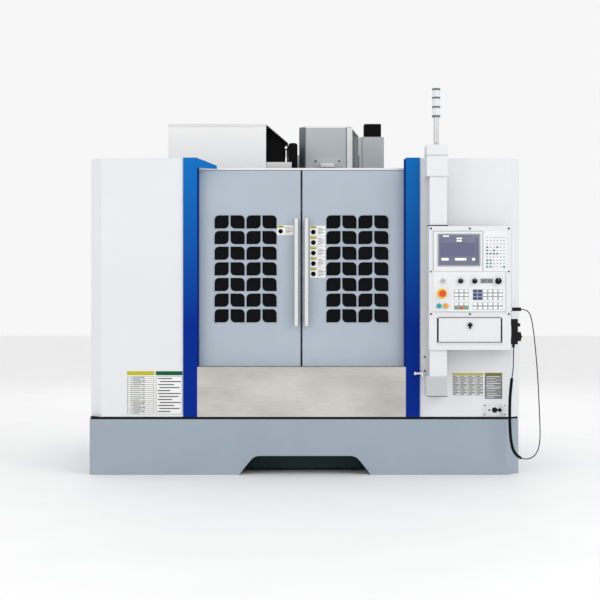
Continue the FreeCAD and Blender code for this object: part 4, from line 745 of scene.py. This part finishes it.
def makeTopEdge():
    # a folded strip round the enclosure's top and the joint lines down its sides
    low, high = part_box("side_and_rear_panels")
    wide, rise = sidePanels["fold"], sidePanels["seamRise"]
    folds = [((x, low.y, high.z - sidePanels["foldRise"]), (x + wide, high.y, high.z))
             for x in (low.x, high.x - wide)]
    blocksDone("topFolds", folds, "white_paint", "machine", 0.0008)
    seams = []
    for x in (low.x, high.x - rise):
        for part in sidePanels["seams"]:
            y = low.y + (high.y - low.y) * part
            seams.append(((x, y, low.z), (x + rise, y + sidePanels["seam"], high.z)))
    blocksDone("sideSeams", seams, "deepBlack", "machine")


makeLabels()
makeDoorEdges()
makePillarReturns()
makeServicePlate()
for side in ("left", "right"):
    makeWindowRims(side)
makeTopEdge()
print("enclosure dressed")


display = {
    "split": 1.048, "seam": 0.004, "edge": 0.003, "rim": 0.008, "screen": (0.791, 1.027, 1.260, 1.437),
    # shares of the screen: left, right, low, high
    "fields": ((0.06, 0.24, 0.15, 0.23), (0.40, 0.68, 0.15, 0.23), (0.83, 0.90, 0.15, 0.23),
               (0.44, 0.57, 0.86, 0.91), (0.44, 0.57, 0.78, 0.83), (0.10, 0.25, 0.94, 0.98)),
    "panes": ((0.92, 0.97, 0.08, 0.90), (0.03, 0.90, 0.30, 0.74)),
}


def screenAreas(shares):
    left, right, low, high = display["screen"]
    wide, tall = right - left, high - low
    return [(left + wide * a, left + wide * b, low + tall * c, low + tall * d) for a, b, c, d in shares]


def makeDisplay():
    face = front("display_unit")
    low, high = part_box("display_unit")
    split, edge, rim = display["split"], display["edge"], display["rim"]
    left, right, bottom, top = display["screen"]
    seams = [(split, split + display["seam"], low.z, high.z), (low.x, split, high.z - edge, high.z),
             (low.x, low.x + edge, low.z, high.z)]
    platesDone("displaySeams", seams, face, 0.0008, "paleMark", "panel_body")
    bezel = [(left - rim, right + rim, top, top + rim), (left - rim, right + rim, bottom - rim, bottom),
             (left - rim, left, bottom, top), (right, right + rim, bottom, top)]
    platesDone("displayBezel", bezel, face, 0.0035, "keyBedGrey", "panel_body", 0.0012)
    platesDone("displayScreen", [display["screen"]], face, 0.0015, "screenGlow", "panel_body",
               0.0005)
    platesDone("screenFields", screenAreas(display["fields"]), face, 0.0019, "screenField", "panel_body",
               base=0.0015)
    platesDone("screenPanes", screenAreas(display["panes"]), face, 0.0017, "screenPane", "panel_body",
               base=0.0015)
    makeFilmKeys(face)


filmKeys = {
    "left": 1.076, "top": 1.423, "across": 0.0198, "down": 0.0193, "columns": 6, "rows": 10,
    "teal": {(3, 0), (3, 3), (4, 0), (4, 2), (5, 0), (5, 1), (5, 2), (5, 3), (7, 0), (7, 1), (8, 0), (8, 1),
             (9, 0), (9, 1), (9, 5)},
    "tealSize": 0.0062, "paleSize": 0.0042,
}


def makeFilmKeys(face):
    # low domes in the film, each with a mark, some of them teal
    across, down = filmKeys["across"], filmKeys["down"]
    left, top = filmKeys["left"], filmKeys["top"]
    right = left + across * (filmKeys["columns"] - 1)
    bottom = top - down * (filmKeys["rows"] - 1)
    repeated("filmKeys", blockItem(0.0155, 0.0012, 0.0145, 0.001), filmKeys["columns"], filmKeys["rows"],
             (left, face, bottom), (right, face, top), "keyWhite", "panel_body")
    areas = {True: [], False: []}
    for row in range(filmKeys["rows"]):
        for column in range(filmKeys["columns"]):
            isTeal = (row, column) in filmKeys["teal"]
            size = filmKeys["tealSize"] if isTeal else filmKeys["paleSize"]
            x, z = left + across * column, top - down * row
            areas[isTeal].append((x - size, x + size, z - size * 0.8, z + size * 0.8))
    platesDone("filmKeyMarks", areas[False], face, 0.0016, "paleMark", "panel_body", base=0.0012)
    platesDone("filmKeyTeal", areas[True], face, 0.0016, "tealMark", "panel_body", base=0.0012)


keyShape = {"wide": 0.0225, "rise": 0.0022, "tall": 0.0150, "bevel": 0.0012, "margin": 0.0135}
# each block of keys: the first and last key's middle, columns, rows and look
keyBlocks = {
    "mode": (0.894, 0.953, 1.062, 1.106, 3, 3, "keyWhite"),
    "modeLow": (0.894, 0.953, 1.029, 1.029, 3, 1, "keyWhite"),
    "rapid": (1.004, 1.033, 1.062, 1.106, 2, 3, "navyPrint"),
    "axis": (1.063, 1.154, 1.062, 1.106, 4, 3, "keyWhite"),
    "axisLow": (1.004, 1.154, 1.006, 1.029, 6, 2, "keyWhite"),
}
keyBeds = ((0.894, 0.953, 1.006, 1.029), (0.894, 0.953, 1.062, 1.106), (1.004, 1.154, 1.006, 1.029),
           (1.004, 1.154, 1.062, 1.106))
cycleKeys = {"height": 1.006, "keys": ((0.894, "greenPrint"), (0.9235, "red_plastic"), (0.953, "greenPrint"))}


def makeOperatorKeys():
    face = front("operator_panel")
    low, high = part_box("operator_panel")
    edge, margin = 0.0025, keyShape["margin"]
    platesDone("operatorSeams", [(low.x, high.x, low.z, low.z + edge), (high.x - edge, high.x, low.z, high.z)],
               face, 0.0006, "paleMark", "panel_body")
    beds = [(left - margin, right + margin, bottom - margin * 0.7, top + margin * 0.7)
            for left, right, bottom, top in keyBeds]
    platesDone("keyBeds", beds, face, 0.0006, "keyBedGrey", "panel_body", bevel=0.0003, segments=1)
    for name, (left, right, bottom, top, columns, rows, look) in keyBlocks.items():
        key = blockItem(keyShape["wide"], keyShape["rise"], keyShape["tall"], keyShape["bevel"])
        repeated(f"{name}Keys", key, columns, rows, (left, face, bottom), (right, face, top), look, "panel_body")
    wide, tall, height = keyShape["wide"] / 2, keyShape["tall"] / 2, cycleKeys["height"]
    for number, (across, look) in enumerate(cycleKeys["keys"]):
        platesDone(f"cycleKey{number}", [(across - wide, across + wide, height - tall, height + tall)], face,
                   keyShape["rise"], look, "panel_body", bevel=keyShape["bevel"])
    makeReadout(face)


readout = {
    "frame": (1.036, 1.110, 1.152, 1.180),
    "windows": ((1.041, 1.070, 1.156, 1.176), (1.076, 1.105, 1.156, 1.176)),
    "figures": (1.0485, 1.0620, 1.0835, 1.0975), "height": 1.166,
    # each bar of a figure: its place and half sizes
    "bars": ((0, 0.007, 0.0032, 0.0008), (0, 0, 0.0032, 0.0008), (0, -0.007, 0.0032, 0.0008),
             (-0.0040, 0.0035, 0.0008, 0.0027), (0.0040, 0.0035, 0.0008, 0.0027),
             (-0.0040, -0.0035, 0.0008, 0.0027), (0.0040, -0.0035, 0.0008, 0.0027)),
}
stopPlace = {"x": 0.809, "z": 1.091}


def makeReadout(face):
    platesDone("readoutFrame", [readout["frame"]], face, 0.003, "paleMark", "panel_body", 0.001)
    platesDone("readoutWindows", readout["windows"], face, 0.0036, "greyInk", "panel_body",
               base=0.003)
    height = readout["height"]
    figures = [(centre + x - wide, centre + x + wide, height + z - tall, height + z + tall)
               for centre in readout["figures"] for x, z, wide, tall in readout["bars"]]
    platesDone("readoutDigits", figures, face, 0.0040, "darkDigits", "panel_body", base=0.0036)
    ring = [(0.010, 0), (0.0290, 0), (0.0290, 0.002), (0.0265, 0.004), (0.010, 0.004), (0.010, 0)]
    turnedDone("stopRing", [((stopPlace["x"], face, stopPlace["z"]), (0, -1, 0), ring, 48)], "yellowPlastic",
               "panel_body")


knobs = {"feed_knob": ("feed_body", 0.015), "speed_knob": ("speed_body", 0.015), "mode_dial": ("mode_body", 0.019)}
litButtons = {"teal_button": ("teal_body", "teal_plastic"), "amber_button": ("amber_body", "amber_plastic")}
knobScale = {"ticks": 13, "first": -135, "step": 22.5, "reach": 1.55, "half": 0.0008}


def makeKnob(node, body, radius, face):
    # a bright skirt, a pointer and a ring of ticks on the panel
    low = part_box(node)[0]
    middle = middleOf(node)
    skirt = [(0, 0), (radius * 1.2, 0), (radius * 1.2, 0.002), (radius * 1.02, 0.005), (0, 0.005)]
    turnedDone(f"{node}Skirt", [((middle.x, face - 0.0003, middle.z), (0, -1, 0), skirt, 40)], "chrome", body)
    half = knobScale["half"]
    pointer = (middle.x - half, middle.x + half, middle.z + radius * 0.2, middle.z + radius * 0.92)
    platesDone(f"{node}Mark", [pointer], low.y, 0.0005, "paleFilm", body)
    areas = []
    for tick in range(knobScale["ticks"]):
        angle = math.radians(knobScale["first"] + tick * knobScale["step"])
        x = middle.x + math.sin(angle) * radius * knobScale["reach"]
        z = middle.z + math.cos(angle) * radius * knobScale["reach"]
        areas.append((x - half, x + half, z - half, z + half))
    platesDone(f"{node}Ticks", areas, face, 0.0004, "greyInk", "panel_body")


def makeControlFaces():
    face = front("operator_panel")
    for node, (body, radius) in knobs.items():
        makeKnob(node, body, radius, face)
    crown = [(0.0125, 0), (0.0122, 0.0012), (0.009, 0.0026), (0.004, 0.0034), (0, 0.0036)]
    collar = [(0.0146, 0), (0.018, 0), (0.018, 0.003), (0.0165, 0.005), (0.0146, 0.005), (0.0146, 0)]
    for node, (body, look) in litButtons.items():
        middle = middleOf(node)
        place = (middle.x, front(node) + 0.0002, middle.z)
        turnedDone(f"{node}Crown", [(place, (0, -1, 0), crown, 32)], look, body)
        turnedDone(f"{node}Collar", [((middle.x, face, middle.z), (0, -1, 0), collar, 40)], "chrome",
                   "panel_body")
    dome = [(0.0188, 0), (0.0202, 0.004), (0.0202, 0.010), (0.0175, 0.0138), (0.009, 0.0152), (0, 0.0154)]
    place = (stopPlace["x"], front("emergency_button") + dome[-1][1], stopPlace["z"])
    turnedDone("stopDome", [(place, (0, -1, 0), dome, 48)], "red_plastic", "stop_body")


panelScrews = {"front": -1.130, "x": (0.744, 1.204),
               "rows": {"Top": (0.006, 3, 1.4755), "Low": (0.006, 3, 0.970), "Middle": (0.005, 2, 1.221)}}


def makePanelScrews():
    (left, right), face = panelScrews["x"], panelScrews["front"]
    for name, (radius, columns, z) in panelScrews["rows"].items():
        screwsDone(f"panelScrews{name}", radius, columns, 1, (left, face, z), (right, face, z), "panel_body")


makeDisplay()
makeOperatorKeys()
makeControlFaces()
makePanelScrews()
print("control panel dressed")


handwheel = {"ticks": 50, "reach": 0.0305, "longReach": 0.0315, "face": 1.262, "half": 0.0006, "grip": 0.017}
cordEnds = {"pendant": (1.242, cordShape["deep"], 0.7705), "socket": (1.217, cordShape["deep"], 0.998)}


def makePendant():
    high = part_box("pendant_wheel")[1]
    middle = middleOf("pendant_wheel")
    hub = [(0, 0), (0.026, 0), (0.026, 0.001), (0.020, 0.0025), (0, 0.0025)]
    grip = [(0, 0), (0.005, 0), (0.005, 0.012), (0.003, 0.014), (0, 0.014)]
    turnedDone("wheelFace", [((high.x - 0.0005, middle.y, middle.z), (1, 0, 0), hub, 48),
                             ((high.x, middle.y + handwheel["grip"], middle.z), (1, 0, 0), grip, 20)],
               "black_plastic", "wheel_body")
    ticks = []
    half, face = handwheel["half"], handwheel["face"]
    for step in range(handwheel["ticks"]):
        angle = 2 * math.pi * step / handwheel["ticks"]
        reach = handwheel["reach"] if step % 5 else handwheel["longReach"]
        y, z = middle.y + math.sin(angle) * reach, middle.z + math.cos(angle) * reach
        ticks.append(((face, y - half, z - half), (face + 0.0004, y + half, z + half)))
    blocksDone("wheelTicks", ticks, "paleFilm", "panel_body")
    relief = [(0.0034, 0), (0.005, 0), (0.0078, 0.019), (0.0034, 0.019), (0.0034, 0)]
    turnedDone("pendantRelief", [(cordEnds["pendant"], (0, 0, 1), relief, 24)], "cord_rubber", "panel_body")
    nut = [(0.0112, 0), (0.015, 0), (0.015, 0.012), (0.0135, 0.014), (0.0112, 0.014), (0.0112, 0)]
    turnedDone("connectorNut", [(cordEnds["socket"], (1, 0, 0), nut, 6)], "chrome", "panel_body",
               smooth=False)


makePendant()
print("pendant dressed")


lampRings = {"inner": 0.0241, "outer": 0.0252, "tall": 0.011, "pitch": 0.055, "fromTop": 0.012}


def makeLamp():
    low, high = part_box("signal_lamp")
    middle = middleOf("signal_lamp")
    inner, outer, tall, pitch = lampRings["inner"], lampRings["outer"], lampRings["tall"], lampRings["pitch"]
    ring = [(inner, 0), (outer, 0.001), (outer, tall - 0.001), (inner, tall), (inner, 0)]
    heights = (low.z, low.z + pitch, low.z + 2 * pitch, high.z - lampRings["fromTop"])
    turnedDone("lampRings", [((middle.x, middle.y, z), (0, 0, 1), ring, 40) for z in heights], "shadeGrey",
               "machine")
    flange = [(0.0152, 0), (0.034, 0), (0.034, 0.005), (0.020, 0.008), (0.0152, 0.020), (0.0152, 0)]
    turnedDone("lampFlange", [((middle.x, middle.y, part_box("lamp_pole")[0].z), (0, 0, 1), flange, 40)],
               "machined_steel", "machine")


brackets = {"seam": (0.7195, 0.8455, 1.909, 1.9105), "seamBack": -0.974, "face": (0.7225, 0.8425, 0.485, 0.598),
            "foot": (0.7215, 0.8435, 0.4815, 0.4845)}


def makeBracketCovers():
    face = front("panel_brackets")
    platesDone("bracketSeam", [brackets["seam"]], face, 0.001, "deepBlack", "machine",
               base=face - brackets["seamBack"])
    platesDone("bracketFace", [brackets["face"]], face, 0.0008, "midGrey", "machine", 0.0003, 1)
    platesDone("bracketFoot", [brackets["foot"]], face, 0.0008, "deepBlack", "machine")


pipeStub = {"gap": 0.030, "radius": 0.0075, "start": (0.655, 0.612), "drop": (0.707, 0.586),
            "stem": (0.672, 0.612)}
panelStuds = {"x": 0.7225, "z": (0.626, 0.710), "radius": 0.006}


def makePipeStub():
    face = front("front_panels")
    radius = pipeStub["radius"]
    profiles = {
        "start": ((1, 0, 0), [(0, 0), (0.012, 0), (0.012, 0.012), (radius, 0.014), (radius, 0.052),
                              (0, 0.052)], 24),
        "drop": ((0, 0, 1), [(0, 0), (radius, 0), (radius, 0.030), (0.006, 0.033), (0, 0.034)], 24),
        "stem": ((0, 1, 0), [(0, 0), (0.005, 0), (0.005, 0.030), (0, 0.030)], 16),
    }
    turns = [((pipeStub[name][0], face - pipeStub["gap"], pipeStub[name][1]), *profile)
             for name, profile in profiles.items()]
    turnedDone("pipeStub", turns, "chrome", "machine")
    across, (low, high) = panelStuds["x"], panelStuds["z"]
    screwsDone("panelStuds", panelStuds["radius"], 1, 2, (across, face, low), (across, face, high), "machine")


flap = {"bottom": 0.802, "rim": 0.0032,
        # the grip's outline about the latch's middle
        "grip": ((-0.017, 0), (-0.006, -0.008), (-0.0045, -0.022), (0.0045, -0.022), (0.006, -0.008), (0.017, 0),
                 (0, 0.017))}
# the dark strip where the box top meets the post is painted shadow in the gap
boxShadowGap = ((0.733, -1.122, 1.4905), (0.846, -1.010, 1.4965))


def makeFlapDetails():
    low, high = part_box("storage_flap")
    rim, bottom = flap["rim"], flap["bottom"]
    # dark strips along the flap's top and bottom edges, painted shadow in the gaps round it
    platesDone("flapOutline", [(low.x, high.x, high.z - rim, high.z), (low.x, high.x, bottom, bottom + rim)],
               low.y, 0.0006, "seal_rubber", "flap_body")
    middle, face = middleOf("flap_latch"), front("flap_latch")
    prismDone("latchGrip", [(middle.x + x, middle.z + z) for x, z in flap["grip"]], face - 0.002, face + 0.003,
              "black_plastic", "latch_body")
    blocksDone("boxTopSeam", [boxShadowGap], "seal_rubber", "panel_body")


makeLamp()
makeBracketCovers()
makePipeStub()
makeFlapDetails()
print("lamp and brackets dressed")


hood = {"plate": (0.055, 0.245, 1.925, 1.985), "tab": (0.105, 0.195, 1.925, 1.950), "plateRise": 0.002,
        "tabRise": 0.014, "screws": (0.072, 0.228, 1.966), "screw": 0.006, "bevel": 0.040}
bellows = {"wide": 0.042, "low": 1.80, "outerTop": 2.135, "innerTop": 2.186, "near": 0.06, "far": 0.30,
           "ribs": 5, "ribHeight": 1.968}


def makeHoodDetails():
    low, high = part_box("head_hood")
    plateRise, bevel = hood["plateRise"], hood["bevel"]
    platesDone("hoodPlate", [hood["plate"]], low.y, plateRise, "grey_paint", "head_body", 0.0008)
    platesDone("hoodTab", [hood["tab"]], low.y, hood["tabRise"], "white_paint", "head_body", 0.003,
               base=plateRise)
    left, right, height = hood["screws"]
    screwsDone("hoodScrews", hood["screw"], 2, 1, (left, low.y - plateRise, height),
               (right, low.y - plateRise, height), "head_body")
    bottom, top = low.z + 0.01, high.z - 0.006
    # the bevelled corners carry painted light: the left one in dark grey is painted shade, the right one in white
    # is a painted highlight
    for name, nearX, farX, look in (("Left", low.x, low.x + bevel, "shadeGrey"),
                                    ("Right", high.x, high.x - bevel, "whiteFilm")):
        leanDone(f"hood{name}Corner", (nearX, low.y + bevel), (farX, low.y), bottom, top, 0.001, look,
                 "head_body", "grey_paint")
    seams = [((x - 0.003, low.y - 0.0012, bottom), (x + 0.003, low.y, top))
             for x in (low.x + bevel, high.x - bevel)]
    seams.append(((high.x - 0.001, low.y + bevel, bottom), (high.x, low.y + bevel + 0.008, top)))
    blocksDone("hoodSeams", seams, "shadeGrey", "head_body")
    # a pale strip along the hood's top edge, a painted highlight
    platesDone("hoodFold", [(low.x + bevel, high.x - bevel, high.z - 0.009, high.z - 0.001)], low.y, 0.001,
               "brightWhite", "head_body")
    outer, near = high.x + bellows["wide"], low.y + bellows["near"]
    prismDone("hoodBellows", [(high.x, bellows["low"]), (outer, bellows["low"]), (outer, bellows["outerTop"]),
                              (high.x, bellows["innerTop"])], near, low.y + bellows["far"],
              "shadeGrey", "head_body", "dark_paint")
    y, height = near + 0.001, bellows["ribHeight"]
    repeated("bellowsRibs", blockItem(0.003, 0.006, 0.330, 0.001), bellows["ribs"], 1, (high.x + 0.005, y, height),
             (high.x + 0.038, y, height), "grey_paint", "head_body")


cooler = {"slats": 16, "slatZ": (1.90, 2.14), "slatHalf": 0.13, "seam": (0.018, 0.021, 2.204),
          "fanLow": (0.424, 0.418, 2.207), "fanHigh": (0.544, 0.538), "guard": (0.484, 0.478, 2.2990),
          "rings": (0.012, 0.024, 0.036, 0.048), "wire": 0.0018}


def makeCooler():
    low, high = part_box("cooler_unit")
    blocksDone("fanCase", [(cooler["fanLow"], (*cooler["fanHigh"], high.z + 0.001))], "deepBlack", "machine",
               0.004, 3)
    slat = bmesh.new()
    blockInto(slat, (0, -cooler["slatHalf"], -0.003), (0.004, cooler["slatHalf"], 0.003), 0.001, 1)
    y, (first, last) = (low.y + high.y) / 2, cooler["slatZ"]
    repeated("coolerSlats", slat, 1, cooler["slats"], (high.x, y, first), (high.x, y, last), "dark_paint",
             "machine", side=True)
    left, right, top = cooler["seam"]
    platesDone("coolerSeam", [(low.x + left, low.x + right, low.z, top)], low.y, 0.0008, "dark_paint", "machine")
    rings = []
    for radius in cooler["rings"]:
        inner, outer = radius - cooler["wire"], radius + cooler["wire"]
        rings.append((cooler["guard"], (0, 0, 1),
                      [(inner, 0), (outer, 0), (outer, 0.003), (inner, 0.003), (inner, 0)], 40))
    turnedDone("fanGuard", rings, "machined_steel", "machine")


# depths are counted from the magazine cover's front
magazine = {
    "fold": (-0.248, 0.022), "ledge": ((-0.248, 0.001, 1.907), (-0.084, 0.060, 1.946)),
    "motor": ((-0.106, 0.004, 1.905), (-0.046, 0.12, 2.072)), "rod": (-0.120, 0.03, 1.946),
    "drive": ((-0.246, 1.948), (-0.113, 1.948), (-0.113, 2.062), (-0.246, 2.176)), "driveDepth": (0.05, 0.30),
    "rodProfile": ((0, 0), (0.008, 0), (0.008, 0.030), (0.005, 0.032), (0.005, 0.078), (0.007, 0.080),
                   (0.011, 0.086), (0.012, 0.094), (0.011, 0.102), (0.006, 0.109), (0, 0.111)),
}


def makeMagazineDetails():
    low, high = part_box("magazine_cover")
    right, tall = magazine["fold"]
    platesDone("magazineFold", [(low.x, right, high.z - tall, high.z - 0.001)], low.y, 0.0015, "whiteFilm",
               "machine", 0.0006, 1)
    ledge, motor = [[(x, low.y + y, z) for x, y, z in magazine[name]] for name in ("ledge", "motor")]
    blocksDone("magazineLedge", [ledge], "paleFilm", "machine", 0.002)
    near, far = magazine["driveDepth"]
    prismDone("magazineDrive", magazine["drive"], low.y + near, low.y + far, "deepBlack", "machine", "dark_paint")
    blocksDone("magazineMotor", [motor], "deepBlack", "machine", 0.018, 5)
    x, y, z = magazine["rod"]
    turnedDone("magazineRod", [((x, low.y + y, z), (0, 0, 1), magazine["rodProfile"], 24)], "chrome", "machine")


louvres = {"x": (-0.32, 0.32), "z": (0.45, 0.72), "rows": 12, "handle": 0.010, "rise": 0.006}


def makeRear():
    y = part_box("cabinet_door")[1].y - louvres["handle"] + louvres["rise"]
    low, high = louvres["z"]
    for number, x in enumerate(louvres["x"]):
        repeated(f"cabinetLouvres{number}", blockItem(0.30, louvres["rise"], 0.008, 0.002), 1, louvres["rows"],
                 (x, y, low), (x, y, high), "grey_paint", "cabinet_door_body")


makeHoodDetails()
makeCooler()
makeMagazineDetails()
makeRear()
print("top and rear dressed")


studio = {"floor": (0.88, 0.88, 0.88), "reach": 30, "world": 0.93, "aim": (0, 0, 1), "lampSize": 4.0,
          # each lamp's place and power
          "lamps": {"keyLight": ((5.5, -6.0, 5.0), 150), "fillLight": ((-5.0, -6.0, 3.0), 70),
                    "rearLight": ((0, 6.0, 5.0), 70)}}


def makeStudio():
    floorMesh = bpy.data.meshes.new("floor")
    plane = bmesh.new()
    reach = studio["reach"]
    corners = [plane.verts.new((sx * reach, sy * reach, 0)) for sx, sy in ((-1, -1), (1, -1), (1, 1), (-1, 1))]
    plane.faces.new(corners)
    plane.to_mesh(floorMesh)
    plane.free()
    floor = bpy.data.objects.new("floor", floorMesh)
    scene.collection.objects.link(floor)
    floorMesh.materials.append(paint("floorPaint", studio["floor"], 0.6, 60, 0.01))
    world = bpy.data.worlds.new("studioWorld")
    world.use_nodes = True
    background = world.node_tree.nodes["Background"]
    background.inputs["Color"].default_value = (1, 1, 1, 1)
    background.inputs["Strength"].default_value = studio["world"]
    scene.world = world
    for name, (place, power) in studio["lamps"].items():
        lamp = bpy.data.lights.new(name, "AREA")
        lamp.size = studio["lampSize"]
        lamp.energy = power
        made = bpy.data.objects.new(name, lamp)
        made.location = place
        made.rotation_euler = (Vector(studio["aim"]) - Vector(place)).to_track_quat("-Z", "Y").to_euler()
        scene.collection.objects.link(made)


makeStudio()
scene.view_settings.view_transform = "Standard"
